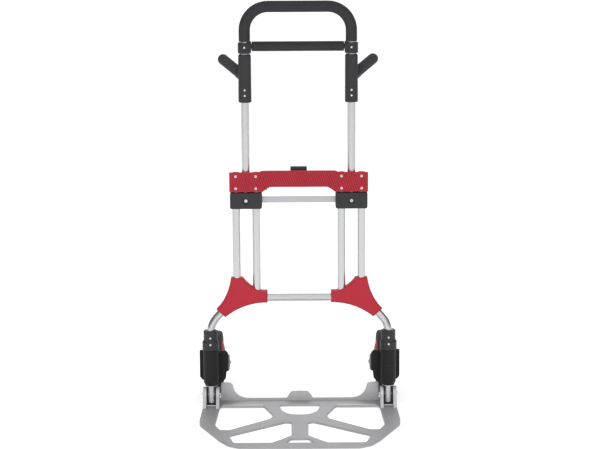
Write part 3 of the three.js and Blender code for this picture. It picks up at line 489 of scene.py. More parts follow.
grooved_red = grooved_plastic("grooved_red_nylon", RED, RED_SHADE)
beam_shells = {"front": BEAM_FRONT, "back": BEAM_BACK}
for part_name, face_y in beam_shells.items():
    facing = math.copysign(1, face_y)
    shell = bmesh.new()
    face = panel(shell, beam_outline, lambda x, z: (x, facing * SEAM, z))
    outer = thicken(shell, [face], Y * (face_y - facing * SEAM))
    for vert in shell.verts:
        if vert.co.z > BEAM_TOP - 3 * MM:
            vert.co.z -= 1.2 * MM + (vert.co.y - BEAM_FRONT) * TOP_SLOPE
    round_shell(shell, outer[0], 3.2 * MM, 5, 0.4 * MM)
    for flat in shell.faces:
        if abs(flat.calc_center_median().y - face_y) < 0.01 * MM:
            flat.material_index = 1
    for k in range(-28, 29):
        x = k * RIB_PITCH
        if abs(x) < BEAM_HALF - 8 * MM and min(abs(abs(x) - screw_x) for screw_x in SCREW_X) > 7.5 * MM:
            rib(shell, x, face_y)
    name = f"crossbeam_{part_name}"
    beam = piece(shell, f"carry_beam_{part_name}", red_nylon, "frame", [name], 45)
    beam.data.materials.append(grooved_red)


# Bright zinc-plated pan-head screws with a cross recess, turned down into the shells and the sliders.
def plated_steel(name, tint=(0.82, 0.82, 0.83), roughness=0.2, metallic=1.0):
    looks = Looks(name)
    mottle = looks.noise(looks.place(), 350.0, 3.0, 0.6)
    brushed = looks.noise(looks.place((90, 90, 90)), 9.0, 2.0)
    dull = (*[c * 0.8 for c in tint], 1)
    colour = looks.mix(mottle, dull, (*tint, 1))
    return looks.finish(colour, roughness + brushed * 0.18, metallic, mottle, 0.00003)


zinc_plate = plated_steel("zinc_plate")
SCREW_HEAD_R = 4.3 * MM
SCREW_RISE = 2.0 * MM
FULL_TURN = 2 * math.pi


def turned(mesh, profile, at, axis=Z, sides=40):
    """A solid of revolution. The profile is made of (radius, distance along the axis)."""
    turn = Z.rotation_difference(Vector(axis)).to_matrix()
    at = Vector(at)
    verts = [mesh.verts.new(at + turn @ Vector((radius, 0, height))) for radius, height in profile]
    edges = [mesh.edges.new(pair) for pair in zip(verts, verts[1:])]
    bmesh.ops.spin(mesh, geom=verts + edges, cent=at, axis=turn @ Z, angle=FULL_TURN, steps=sides,
                   use_merge=True)
    bmesh.ops.remove_doubles(mesh, verts=mesh.verts, dist=WELD)


def arc(radius, centre, start, end, steps=6):
    """Profile points along a round, from one angle to another in degrees."""
    angles = [math.radians(start + (end - start) * k / steps) for k in range(steps + 1)]
    return [(centre[0] + radius * math.cos(a), centre[1] + radius * math.sin(a)) for a in angles]


def draw_in(mesh, edges, share):
    """Shrinks a ring about its own middle."""
    verts = list({v for e in edges for v in e.verts})
    middle = sum((v.co for v in verts), Vector()) / len(verts)
    bmesh.ops.scale(mesh, vec=(share, share, share), verts=verts, space=Matrix.Translation(-middle))


def screw_head(mesh, at, facing, radius=SCREW_HEAD_R, rise=SCREW_RISE):
    """A pan head whose cross recess is sunk in its crown. facing is the way that the head looks."""
    turn = Z.rotation_difference(Vector(facing)).to_matrix().to_4x4()
    place = Matrix.Translation(at) @ turn
    skin = ring(mesh, radius, at, facing, 24)
    skin = run(mesh, skin, Vector(facing) * rise * 0.45)
    skin = run(mesh, skin, Vector(facing) * rise * 0.35)
    draw_in(mesh, skin, 0.86)
    skin = run(mesh, skin, Vector(facing) * rise * 0.2)
    draw_in(mesh, skin, 0.75)
    arm, half = radius * 0.5, radius * 0.13
    quarter = [(arm, -half), (arm, half), (half, half)]
    cross = []
    for k in range(4):
        spin = Matrix.Rotation(k * math.pi / 2 + 0.4, 4, "Z")
        cross += [mesh.verts.new(place @ spin @ Vector((x, y, rise))) for x, y in quarter]
    slots = [mesh.edges.new((a, b)) for a, b in zip(cross, cross[1:] + cross[:1])]
    bmesh.ops.bridge_loops(mesh, edges=skin + slots)
    slots = run(mesh, slots, -Vector(facing) * rise * 0.7)
    close(mesh, slots)


screw_places = [(x, z) for x in (-SCREW_X[0], -SCREW_X[1], SCREW_X[1], SCREW_X[0]) for z in SCREW_Z]
for number, (x, z) in enumerate(screw_places, 1):
    screw = bmesh.new()
    screw_head(screw, Vector((x, BEAM_FRONT + 0.6 * MM, z)), -Y)
    piece(screw, f"beam_screw_{number}", zinc_plate, "frame", [f"crossbeam_screw_{number}"])


# ---------------------------------------------------------------- release button and latch
# A black push button in the top of the beam. It pushes the hidden latch bar back and rises on a small spring.
# The cap has five grip lines across it.
black_nylon = moulded_plastic("black_nylon", (0.026, 0.026, 0.030), (0.018, 0.018, 0.021), 0.42,
                              wear=(0.16, 0.16, 0.17, 1))
cap_low, cap_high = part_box("release_button")
CAP_DEPTH = 18 * MM


def add_box(mesh, middle, size):
    bmesh.ops.create_cube(mesh, size=1, matrix=Matrix.Translation(middle) @ Matrix.Diagonal((*size, 1)))


button = bmesh.new()
add_box(button, (0, 0, cap_high.z - 9.5 * MM), (cap_high.x - cap_low.x, CAP_DEPTH, 18 * MM))
soften(button, 2.2 * MM, segments=4)
for k in range(-2, 3):
    add_box(button, (k * 8.5 * MM, 0, cap_high.z), (3 * MM, 13 * MM, 0.9 * MM))
piece(button, "release_button_cap", black_nylon, "button", ["release_button"])


def paint_node(name, material):
    """Gives a plain solid that shows as it is its material."""
    nodes[name].data.materials.clear()
    nodes[name].data.materials.append(material)


for name in ("button_spring", "latch_bar"):
    paint_node(name, zinc_plate)


# ---------------------------------------------------------------- mast tube and its grips
# One drawn tube bent into a tall U. Closed-cell foam is slid over the top and over the cross bar.
# Below it, moulded collars hold the cross bar, and moulded sleeves carry the two side grips.
def closed_cell_foam(name, colour, shade, cells=420, depth=0.00022):
    """Skinned foam: small closed cells, slightly cloudy colour, dull all over."""
    looks = Looks(name)
    cell = looks.node("ShaderNodeTexVoronoi", {"feature": "F1"}, {"Vector": looks.place(), "Scale": cells})[0]
    cloud = looks.noise(looks.place(), 18.0, 4.0)
    pores = looks.noise(looks.place(), 1300.0, 2.0)
    colour_out = looks.mix((cloud * 1.5 - 0.25).held(), (*shade, 1), (*colour, 1))
    colour_out = looks.mix((pores > 0.62) * 0.35, colour_out, (*[c * 0.5 for c in shade], 1))
    height = cell * 0.6 + pores * 0.4
    return looks.finish(colour_out, 0.74 + cloud * 0.14, 0.0, height, depth, Specular_IOR_Level=0.35)


grip_foam = closed_cell_foam("grip_foam", (0.034, 0.034, 0.042), (0.023, 0.023, 0.029))
MAST_X = (OUTER_X + INNER_X) / 2
mast_low, mast_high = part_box("handle_tube")
grip_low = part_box("top_grip")[0]
MAST_TOP = mast_high.z - TUBE_R
MAST_BEND_R = 72 * MM
GRIP_R = 17.3 * MM


def mast_skin(mesh, radius, foot_z, sides=32):
    skin = ring(mesh, radius, (-MAST_X, 0, foot_z), Z, sides)
    skin = run(mesh, skin, Z * (MAST_TOP - MAST_BEND_R - foot_z))
    skin = bend(mesh, skin, (-MAST_X + MAST_BEND_R, 0, MAST_TOP - MAST_BEND_R), Y, math.pi / 2, 16)
    skin = run(mesh, skin, X * 2 * (MAST_X - MAST_BEND_R))
    skin = bend(mesh, skin, (MAST_X - MAST_BEND_R, 0, MAST_TOP - MAST_BEND_R), Y, math.pi / 2, 16)
    return run(mesh, skin, -Z * (MAST_TOP - MAST_BEND_R - foot_z))


tube = bmesh.new()
mast_skin(tube, TUBE_R, mast_low.z)
wall(tube, TUBE_WALL)
piece(tube, "mast_tube", upright_aluminium, "mast", ["handle_tube"])

foam = bmesh.new()
mast_skin(foam, GRIP_R, grip_low.z, 40)
wall(foam, GRIP_R - TUBE_R - 0.3 * MM)
soften(foam, 1.3 * MM, 60)
top_foam = piece(foam, "top_foam_grip", grip_foam, "mast", ["top_grip"])



def beyond(radius, *points, base=0.0):
    """Profile points in millimetres, as (distance beyond the radius, height over the base)."""
    return [(radius + r * MM, base + z * MM) for r, z in points]


bar_low, bar_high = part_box("cross_grip")
bar_z = (bar_low.z + bar_high.z) / 2
bar_r = (bar_high.z - bar_low.z) / 2
foam = bmesh.new()
end = bar_high.x
round_end = arc(2 * MM, (bar_r - 2 * MM, end - 2 * MM), 0, 90)
round_start = arc(2 * MM, (bar_r - 2 * MM, -end + 2 * MM), -90, 0)
turned(foam, [(0, -end), *round_start, *round_end, (0, end)], (0, 0, bar_z), X, 48)
cross_foam = piece(foam, "cross_foam_grip", grip_foam, "mast", ["cross_grip"])

collar_low, collar_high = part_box("grip_collar_left")
COLLAR_R = 20.5 * MM
sleeve_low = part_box("handle_sleeve_left")[0].z
sleeve_high = collar_low.z - 3 * MM
SLEEVE_R = 20 * MM
grip_root = Vector((MAST_X, 0, sleeve_high - 70 * MM))
GRIP_REACH = Vector((68, 70, 46)) * MM
SIDE_GRIP_R = 16.5 * MM
for side, s in SIDES.items():
    # collar: a short ring with a boss for the cross bar and a shallow groove near its lower edge
    collar = bmesh.new()
    height = collar_high.z - collar_low.z
    profile = [(0, -0.2 * MM), (COLLAR_R - 3 * MM, -0.2 * MM)]
    profile += arc(2.2 * MM, (COLLAR_R - 2.2 * MM, 2.2 * MM), -70, 0, 4)
    profile += beyond(COLLAR_R, (0, 7), (-0.8, 7.8), (-0.8, 9), (0, 9.8))
    profile += [*arc(1.6 * MM, (COLLAR_R - 1.6 * MM, height - 1.6 * MM), 0, 90, 4), (0, height)]
    turned(collar, profile, (s * MAST_X, 0, collar_low.z), Z, 48)
    boss = beyond(0, (0, 0), (15.5, 0), (15.5, 5.5), (14, 7), (0, 7))
    turned(collar, boss, (s * (MAST_X - COLLAR_R + 6.5 * MM), 0, bar_z), -X * s, 40)
    piece(collar, f"cross_bar_collar_{side}", black_nylon, "mast", [f"grip_collar_{side}"])

    # sleeve: a long moulded tube that is a little thicker below, with a line above its two rivets
    sleeve = bmesh.new()
    length = sleeve_high - sleeve_low
    profile = [(0, 0), *arc(0.8 * MM, (SLEEVE_R - 0.8 * MM, 0.8 * MM), -90, 0, 3)]
    profile += beyond(SLEEVE_R, (0, 50), (-0.5, 51), (-0.5, 53), (-0.2, 54))
    profile += beyond(SLEEVE_R, (-0.4, -5), (-2.6, -0.6), (-3.4, 0), base=length) + [(0, length)]
    turned(sleeve, profile, (s * MAST_X, 0, sleeve_low), Z, 48)
    root = Vector((s * grip_root.x, 0, grip_root.z))
    reach = Vector((s * GRIP_REACH.x, GRIP_REACH.y, GRIP_REACH.z))
    cup = beyond(0, (0, 0), (17.8, 0), (17.8, 27), (17, 28.5), (0, 28.5))
    turned(sleeve, cup, root, reach.normalized(), 40)
    piece(sleeve, f"side_grip_sleeve_{side}", black_nylon, "mast", [f"handle_sleeve_{side}"])


# The side grips are soft rubber over a core of the sleeve, with a fine diamond texture and a round end.
def textured_rubber(name, colour, shade, pitch=420):
    looks = Looks(name)
    one, two = (
        looks.node("ShaderNodeTexWave", {"wave_type": "BANDS", "bands_direction": "DIAGONAL"},
                   {"Vector": looks.place((lean, 1, 1)), "Scale": pitch / 6, "Distortion": 0.0})[1]
        for lean in (1, -1)
    )
    cloud = looks.noise(looks.place(), 22.0, 3.0)
    studs = one * two
    colour_out = looks.mix((studs * 0.6 + cloud * 0.4).held(), (*shade, 1), (*colour, 1))
    return looks.finish(colour_out, 0.66 + cloud * 0.12, 0.0, studs, 0.0005)


side_rubber = textured_rubber("side_grip_rubber", (0.045, 0.045, 0.052), (0.022, 0.022, 0.027))
for side, s in SIDES.items():
    root = Vector((s * grip_root.x, 0, grip_root.z))
    reach = Vector((s * GRIP_REACH.x, GRIP_REACH.y, GRIP_REACH.z))
    start, length = 29.5 * MM, reach.length
    grip = bmesh.new()
    profile = [(0, start), *arc(1.2 * MM, (SIDE_GRIP_R - 1.2 * MM, start + 1.2 * MM), -90, 0, 3)]
    for k in range(3):
        groove = start + (6 + 5 * k) * MM
        profile += beyond(SIDE_GRIP_R, (0, 0), (-0.9, 0.8), (-0.9, 1.8), (0, 2.6), base=groove)
    profile += arc(SIDE_GRIP_R, (0, length), 0, 90, 10)
    turned(grip, profile, root, reach.normalized(), 48)
    piece(grip, f"side_rubber_grip_{side}", side_rubber, "mast", [f"side_grip_{side}"])


# Bright domed rivets pin the collars and sleeves to the mast tube, and the leg collars to the legs.
def rivet(name, at, facing, radius, body):
    head = bmesh.new()
    dome = arc(radius, (0, 0.2 * MM), 12, 90, 6)[:-1]
    profile = [(0, -0.5 * MM), (radius, -0.5 * MM), (radius, 0.2 * MM), *dome, (0, radius * 0.55)]
    turned(head, profile, at, facing, 24)
    bmesh.ops.scale(head, vec=(1, 0.6, 1), verts=head.verts, space=Matrix.Translation(-Vector(at)))
    piece(head, name, zinc_plate, body)


COLLAR_RIVET_Z = 1140 * MM
SLEEVE_RIVET_Z = {"upper": 1009.5 * MM, "lower": 992.5 * MM}
for side, s in SIDES.items():
    rivet(f"collar_rivet_{side}", (s * MAST_X, -COLLAR_R, COLLAR_RIVET_Z), -Y, 3.2 * MM, "mast")
    for level, z in SLEEVE_RIVET_Z.items():
        rivet(f"sleeve_rivet_{level}_{side}", (s * MAST_X, -SLEEVE_R, z), -Y, 3.4 * MM, "mast")


# ---------------------------------------------------------------- mast sliders and their crossbar
# Black nylon blocks on the feet of the mast. They run on the frame's tubes and are tied by a flat bar.
# Each block's front has a round recess with the screw that holds the mast tube in it.
RECESS_R = 11.5 * MM
RECESS_DEPTH = 2.6 * MM
slide_low, slide_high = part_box("slider_right")
SLIDER_SCREW_Z = sum(corner.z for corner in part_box("slider_screw_right")) / 2


def rounded_outline(corners, radius, steps=5):
    """The outline with every corner turned into an arc-like curve."""
    corners = [Vector(c) for c in corners]
    made = []
    for before, corner, after in zip(corners[-1:] + corners[:-1], corners, corners[1:] + corners[:1]):
        inwards, onwards = (before - corner).normalized(), (after - corner).normalized()
        half = inwards.angle(onwards) / 2
        reach = min(radius / math.tan(half), (before - corner).length * 0.48, (after - corner).length * 0.48)
        a, b = corner + inwards * reach, corner + onwards * reach
        made += curved(a, corner, b, steps) + [b]
    return made


for side, s in SIDES.items():
    block = bmesh.new()
    corners = [(slide_low.x, slide_low.z), (slide_high.x, slide_low.z)]
    corners += [(slide_high.x, slide_high.z), (slide_low.x, slide_high.z)]
    outline = rounded_outline(corners, 7 * MM)
    depth = slide_high.y
    rim = [block.verts.new((s * p.x, -depth, p.y)) for p in outline]
    outer_rim = [block.edges.new(pair) for pair in zip(rim, rim[1:] + rim[:1])]
    recess = ring(block, RECESS_R, (s * MAST_X, -depth, SLIDER_SCREW_Z), Y, 36)
    bmesh.ops.bridge_loops(block, edges=outer_rim + recess)
    close(block, run(block, recess, Y * RECESS_DEPTH))
    close(block, run(block, outer_rim, Y * 2 * depth))
    bmesh.ops.recalc_face_normals(block, faces=block.faces)
    middle = Vector((s * MAST_X, SLIDER_SCREW_Z))
    ends = [e for e in block.edges if e.calc_face_angle(0) > 1]
    ends = [e for e in ends if all(abs(abs(v.co.y) - depth) < 1e-6 for v in e.verts)]
    bevelled(block, [e for e in ends if (e.verts[0].co.xz - middle).length > 1.2 * RECESS_R], 3.0 * MM, 4)
    bevelled(block, [e for e in block.edges if e.calc_face_angle(0) > 1], 0.5 * MM, 2)
    piece(block, f"mast_slider_{side}", black_nylon, "mast", [f"slider_{side}"])

    screw = bmesh.new()
    place = Vector((s * MAST_X, -depth + RECESS_DEPTH - 0.1 * MM, SLIDER_SCREW_Z))
    screw_head(screw, place, -Y, 5.2 * MM, 2.4 * MM)
    piece(screw, f"slider_pan_screw_{side}", zinc_plate, "mast", [f"slider_screw_{side}"])


def cast_aluminium(name, colour, shade, metallic=0.85, roughness=0.42, grain=520, depth=0.00012):
    """Blasted casting: fine even grain, soft cloudy tone, edges rubbed a little brighter."""
    looks = Looks(name)
    cloud = looks.noise(looks.place(), 6.0, 4.0, 0.6)
    skin = looks.noise(looks.place(), grain, 3.0, 0.65)
    pits = looks.noise(looks.place(), grain * 0.4, 2.0)
    body = looks.mix((cloud * 1.5 - 0.25).held(), (*shade, 1), (*colour, 1))
    speck = looks.mix((pits > 0.70) * 0.25, body, (*[c * 0.6 for c in shade], 1))
    edge = looks.worn_edges(0.0015)
    colour_out = looks.mix(edge * 0.4, speck, (*[min(1, c * 1.5) for c in colour], 1))
    rough = roughness + skin * 0.12 - edge * 0.1
    return looks.finish(colour_out, rough, metallic, skin * 0.7 + pits * 0.3, depth)


bar_aluminium = cast_aluminium("bar_aluminium", (0.52, 0.52, 0.54), (0.46, 0.46, 0.48), 0.9, 0.34, 700,
                               0.00005)
bar_low, bar_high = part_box("slider_crossbar")
flat = bmesh.new()
add_box(flat, (bar_low + bar_high) / 2, bar_high - bar_low)
soften(flat, 1.2 * MM, 60)
piece(flat, "slider_tie_bar", bar_aluminium, "mast", ["slider_crossbar"])

paint_node("cross_grip_tube", black_nylon)


# ---------------------------------------------------------------- leg collars and kingpins
# A black nylon collar, riveted twice to the leg, sits on the wheel carrier with a wider foot.
# Below it a bright steel pin runs down through the carrier, a thin washer and the hinge's foot block.
collar_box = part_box("leg_collar_right")
pin_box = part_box("kingpin_right")
washer_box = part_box("washer_right")
foot_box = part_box("foot_block_right")
LEG_COLLAR_R = 22.3 * MM
LEG_COLLAR_FOOT = 4 * MM
KINGPIN_R = 10 * MM
LEG_RIVET_Z = (228 * MM, 208 * MM)
HINGE_Z = 40.5 * MM
polished_steel = plated_steel("polished_steel", (0.80, 0.80, 0.82), 0.14)
pin_steel = plated_steel("pin_steel", (0.80, 0.80, 0.82), 0.36, 0.35)

for side, s in SIDES.items():
    leg = Vector((s * LEG_X, 0, 0))
    collar = bmesh.new()
    bottom, height = collar_box[0].z, collar_box[1].z - collar_box[0].z
    wide = LEG_COLLAR_R + LEG_COLLAR_FOOT
    profile = [(0, 0), *arc(1.4 * MM, (wide - 1.4 * MM, 1.4 * MM), -90, 0, 4), (wide, 23.4 * MM)]
    profile += [*arc(1.6 * MM, (wide - 1.6 * MM, 24.6 * MM), 0, 60, 4), (LEG_COLLAR_R + 0.3 * MM, 30 * MM)]
    profile += [(LEG_COLLAR_R, 32 * MM), (LEG_COLLAR_R, height - 3 * MM)]
    profile += [*arc(2.6 * MM, (LEG_COLLAR_R - 2.6 * MM, height - 2.6 * MM), 10, 90, 5), (0, height)]
    turned(collar, profile, leg + Z * bottom, Z, 48)
    piece(collar, f"leg_end_collar_{side}", black_nylon, "frame", [f"leg_collar_{side}"])
    for number, z in enumerate(LEG_RIVET_Z, 1):
        front = LEG_COLLAR_R + (LEG_COLLAR_FOOT if z < 212 * MM else 0)
        rivet(f"leg_rivet_{number}_{side}", leg + Vector((0, -front, z)), -Y, 3.5 * MM, "frame")

    pin = bmesh.new()
    length = pin_box[1].z - pin_box[0].z
    profile = [(0, 0), *arc(1.5 * MM, (KINGPIN_R - 1.5 * MM, 1.5 * MM), -90, 0, 4)]
    profile += [(KINGPIN_R, length), (0, length)]
    turned(pin, profile, leg + Z * pin_box[0].z, Z, 40)
    piece(pin, f"leg_kingpin_{side}", pin_steel, "frame", [f"kingpin_{side}"])

    disc = bmesh.new()
    thick = washer_box[1].z - washer_box[0].z
    reach = (washer_box[1].x - washer_box[0].x) / 2
    hole = KINGPIN_R + 0.4 * MM
    profile = [(hole, 0), *beyond(reach, (-0.4, 0), (0, 0.5))]
    profile += [*beyond(reach, (0, -0.5), (-0.4, 0), base=thick), (hole, thick), (hole, 0)]
    turned(disc, profile, leg + Z * washer_box[0].z, Z, 48)
    piece(disc, f"carrier_washer_{side}", polished_steel, "frame", [f"washer_{side}"])

    # The foot block is open in front, so the pin shows between its two cheeks and above its round toe.
    block = bmesh.new()
    top, low = foot_box[1].z, foot_box[0].z
    front_y, back_y = foot_box[0].y, foot_box[1].y
    reach = HINGE_Z - low
    half = (foot_box[1].x - foot_box[0].x) / 2
    round_toe = [(reach * math.cos(a), HINGE_Z + reach * math.sin(a))
                 for a in (math.radians(-105 + 4 * k) for k in range(10))]
    lowest = [(y, z) for y, z in round_toe if front_y <= y <= back_y]
    cheek_outline = [(back_y, top), (front_y, top), (front_y, lowest[0][1]), *lowest, (back_y, lowest[-1][1])]
    room = KINGPIN_R + 0.5 * MM
    core_back, core_front, core_top = back_y - 0.2 * MM, front_y + 0.2 * MM, top - 0.2 * MM
    ledge, core_low = pin_box[0].z - 0.4 * MM, low + 1.2 * MM
    core_outline = [(core_back, core_top), (room, core_top), (room, ledge), (core_front, ledge),
                    (core_front, core_low), (core_back, core_low)]
    for outline, start, width in ((cheek_outline, -half, half - room), (cheek_outline, room, half - room),
                                  (core_outline, -room, 2 * room)):
        face = panel(block, outline, lambda y, z: leg + Vector((start, y, z)))
        thicken(block, [face], X * width)
    soften(block, 0.7 * MM, 55, 2)
    piece(block, f"hinge_foot_{side}", black_nylon, "frame", [f"foot_block_{side}"])


# ---------------------------------------------------------------- wheel carriers
# Black nylon forks. A round barrel turns on the kingpin, and a web behind it joins two arms that reach back
# to the axle. The wings step out beside the barrel, and the inner arm swells round the axle's end.
fork_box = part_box("wheel_carrier_left")
BARREL_R = 24 * MM
AXLE_Y = 150 * MM
WHEEL_R = 103 * MM
FORK_ARM = 6 * MM
FORK_OUTER, FORK_INNER = -37 * MM, 53 * MM
WEB_FRONT, WEB_BACK = 29 * MM, 38 * MM
FORK_BOTTOM, FORK_TOP = 85 * MM, 178 * MM
BOSS_R = 25 * MM


def join(mesh, other):
    """Adds another mesh's faces to this one, and frees the other."""
    carried = bpy.data.meshes.new("carried")
    other.to_mesh(carried)
    other.free()
    mesh.from_mesh(carried)
    bpy.data.meshes.remove(carried)


carrier_nylon = moulded_plastic("carrier_nylon", (0.011, 0.011, 0.013), (0.007, 0.007, 0.008), 0.50, 700,
                                (0.14, 0.14, 0.15, 1), 0.35, 0.00008, 0.28)

for side, s in SIDES.items():
    inwards = -s
    leg = Vector((s * LEG_X, 0, 0))

    def fork_place(u, y, z):
        return leg + Vector((inwards * u, y, z))

    fork = bmesh.new()
    bottom, height = fork_box[0].z, fork_box[1].z - fork_box[0].z
    profile = [(0, 0), (BARREL_R - 8 * MM, 0), *arc(3 * MM, (BARREL_R - 7 * MM, 3 * MM), -90, -35, 3)]
    profile += beyond(BARREL_R, (-2, 6), (-0.4, 10), (0, 14), (0, 62.5), (-0.6, 63), (-0.6, 63.8), (0, 64.3))
    profile += beyond(BARREL_R, (0, -1.5), (-1.5, 0), base=height) + [(0, height)]
    turned(fork, profile, leg + Z * bottom, Z, 56)

    # the outer arm is as high as the web, the inner one is lower where it leaves the web
    for start, low, high in ((FORK_OUTER, FORK_BOTTOM + 4 * MM, FORK_TOP - 2 * MM),
                             (FORK_INNER - FORK_ARM, 106 * MM, 160 * MM)):
        root = WEB_FRONT + 3 * MM
        arm_outline = [(root, low), *arc(BOSS_R, (AXLE_Y, WHEEL_R), -108, 81, 20)]
        arm_outline += curved((WEB_BACK + 24 * MM, high - 9 * MM), (WEB_BACK, high), (root, high), 6)
        arm_outline += [(root, high)]
        arm = bmesh.new()
        face = panel(arm, arm_outline, lambda y, z: fork_place(start, y, z))
        thicken(arm, [face], X * inwards * FORK_ARM)
        soften(arm, 1.6 * MM, 50, 3)
        join(fork, arm)

    # the web, whose outline is what shows from the front, and the necks that tie it to the barrel
    corners = beyond(FORK_OUTER, (0, 90), (7, 80)) + beyond(0, (35, 71), (45, 84), (48, 106))
    corners += beyond(FORK_INNER, (0, 124), (0, 164), (-6.5, 173)) + beyond(FORK_OUTER, (0, 176))
    web = bmesh.new()
    face = panel(web, rounded_outline(corners, 5 * MM), lambda u, z: fork_place(u, WEB_BACK, z))
    front_face = thicken(web, [face], Y * (WEB_FRONT - WEB_BACK))
    bmesh.ops.recalc_face_normals(web, faces=web.faces)
    wing = [v for v in front_face[0].verts if (v.co.x - leg.x) * inwards > 44 * MM and v.co.z > 105 * MM]
    strip = [e for e in front_face[0].edges if all(v in wing for v in e.verts)]
    rest = [e for e in front_face[0].edges if e not in strip]
    bevelled(web, strip, 7 * MM, 1)
    bevelled(web, [e for e in rest if e.is_valid], 2.4 * MM, 3)
    neck = BARREL_R - 4 * MM
    middle, high = (FORK_BOTTOM + FORK_TOP) / 2, FORK_TOP - FORK_BOTTOM
    add_box(web, fork_place(0, WEB_FRONT / 2 + 2 * MM, middle), (2 * neck, WEB_FRONT, high - 6 * MM))
    for u in (-BARREL_R - 1 * MM, BARREL_R + 1 * MM):
        add_box(web, fork_place(u, WEB_FRONT - 4 * MM, middle), (3 * MM, 12 * MM, high - 14 * MM))
    join(fork, web)
    name = f"wheel_carrier_{side}"
    piece(fork, f"wheel_fork_{side}", carrier_nylon, f"carrier_{side}", [name])


# ---------------------------------------------------------------- axles and bushes
# A plated bolt through both arms, with a low round head outside and a domed nut inside.
# The wheel turns on a plain steel bush between the arms.
WHEEL_X = LEG_X - 9.5 * MM
AXLE_R = 6 * MM
for side, s in SIDES.items():
    axle_low, axle_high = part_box(f"wheel_axle_{side}")
    bolt = bmesh.new()
    outer_x, inner_x = (axle_low.x, axle_high.x) if s < 0 else (axle_high.x, axle_low.x)
    span = abs(outer_x - inner_x)
    nut = abs(s * LEG_X - FORK_INNER * s - outer_x) + 0.3 * MM
    profile = [*beyond(0, (0, 0), (8, 0), (9, 0.6), (9, 1.5)), (AXLE_R, 1.6 * MM), (AXLE_R, nut)]
    profile += [*beyond(0, (9, 0.2), (9, 2), base=nut), (AXLE_R, nut + 2.8 * MM)]
    profile += beyond(AXLE_R, (0, -1.4), (-1.4, 0), base=span) + [(0, span)]
    turned(bolt, profile, (outer_x, AXLE_Y, WHEEL_R), -X * s, 32)
    piece(bolt, f"axle_bolt_{side}", zinc_plate, f"carrier_{side}", [f"wheel_axle_{side}"])

    bush_low, bush_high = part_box(f"wheel_bush_{side}")
    bush = bmesh.new()
    bore, outside, width = AXLE_R + 0.4 * MM, (bush_high.z - bush_low.z) / 2, bush_high.x - bush_low.x
    profile = [(bore, 0), *beyond(outside, (-0.5, 0), (0, 0.5))]
    profile += [*beyond(outside, (0, -0.5), (-0.5, 0), base=width), (bore, width), (bore, 0)]
    turned(bush, profile, (bush_low.x, AXLE_Y, WHEEL_R), X, 32)
    piece(bush, f"turning_bush_{side}", polished_steel, f"carrier_{side}", [f"wheel_bush_{side}"])


# ---------------------------------------------------------------- tyres and hubs
# Solid black rubber tyres with a low crown, three grooves round the tread and fine mould marks on the walls.
# They sit on dished red hubs with a thick rim and ten stiffening ribs, and a pale ring at the edge of the rim
# is a painted highlight.
def tyre_skin(name):
    looks = Looks(name)
    cloud = looks.noise(looks.place(), 14.0, 4.0)
    dust = looks.noise(looks.place(), 240.0, 4.0, 0.7)
    grain = looks.noise(looks.place(), 900.0, 2.0)
    body = looks.mix((cloud * 1.4 - 0.2).held(), (0.014, 0.014, 0.015, 1), (0.024, 0.024, 0.026, 1))
    colour = looks.mix((dust * 2.0 - 1.05).held() * 0.4, body, (0.10, 0.095, 0.09, 1))
    return looks.finish(colour, 0.62 + dust * 0.2, 0.0, grain * 0.6 + dust * 0.4, 0.00014)


def spun(mesh, section, centre, steps, closed=True):
    """Spins a section of (radius, place along the axle) round the axle."""
    verts = [mesh.verts.new(centre + Vector((x, 0, r))) for r, x in section]
    edges = [mesh.edges.new(pair) for pair in zip(verts, verts[1:] + verts[:1] if closed else verts[1:])]
    bmesh.ops.spin(mesh, geom=verts + edges, cent=centre, axis=X, angle=FULL_TURN, steps=steps, use_merge=True)


tyre_rubber = tyre_skin("tyre_rubber")
# painted highlight: a pale plated look for the ring that stands for the light caught by the rim's edge
painted_rim_highlight = plated_steel("rim_edge_highlight", (0.66, 0.66, 0.68), 0.3)
TYRE_HALF = 22 * MM
RIM_R = 79.4 * MM
HUB_HALF = 32 * MM
BORE_R = 10 * MM
GROOVE_DEEP = 2.2  # in millimetres, as beyond() takes it

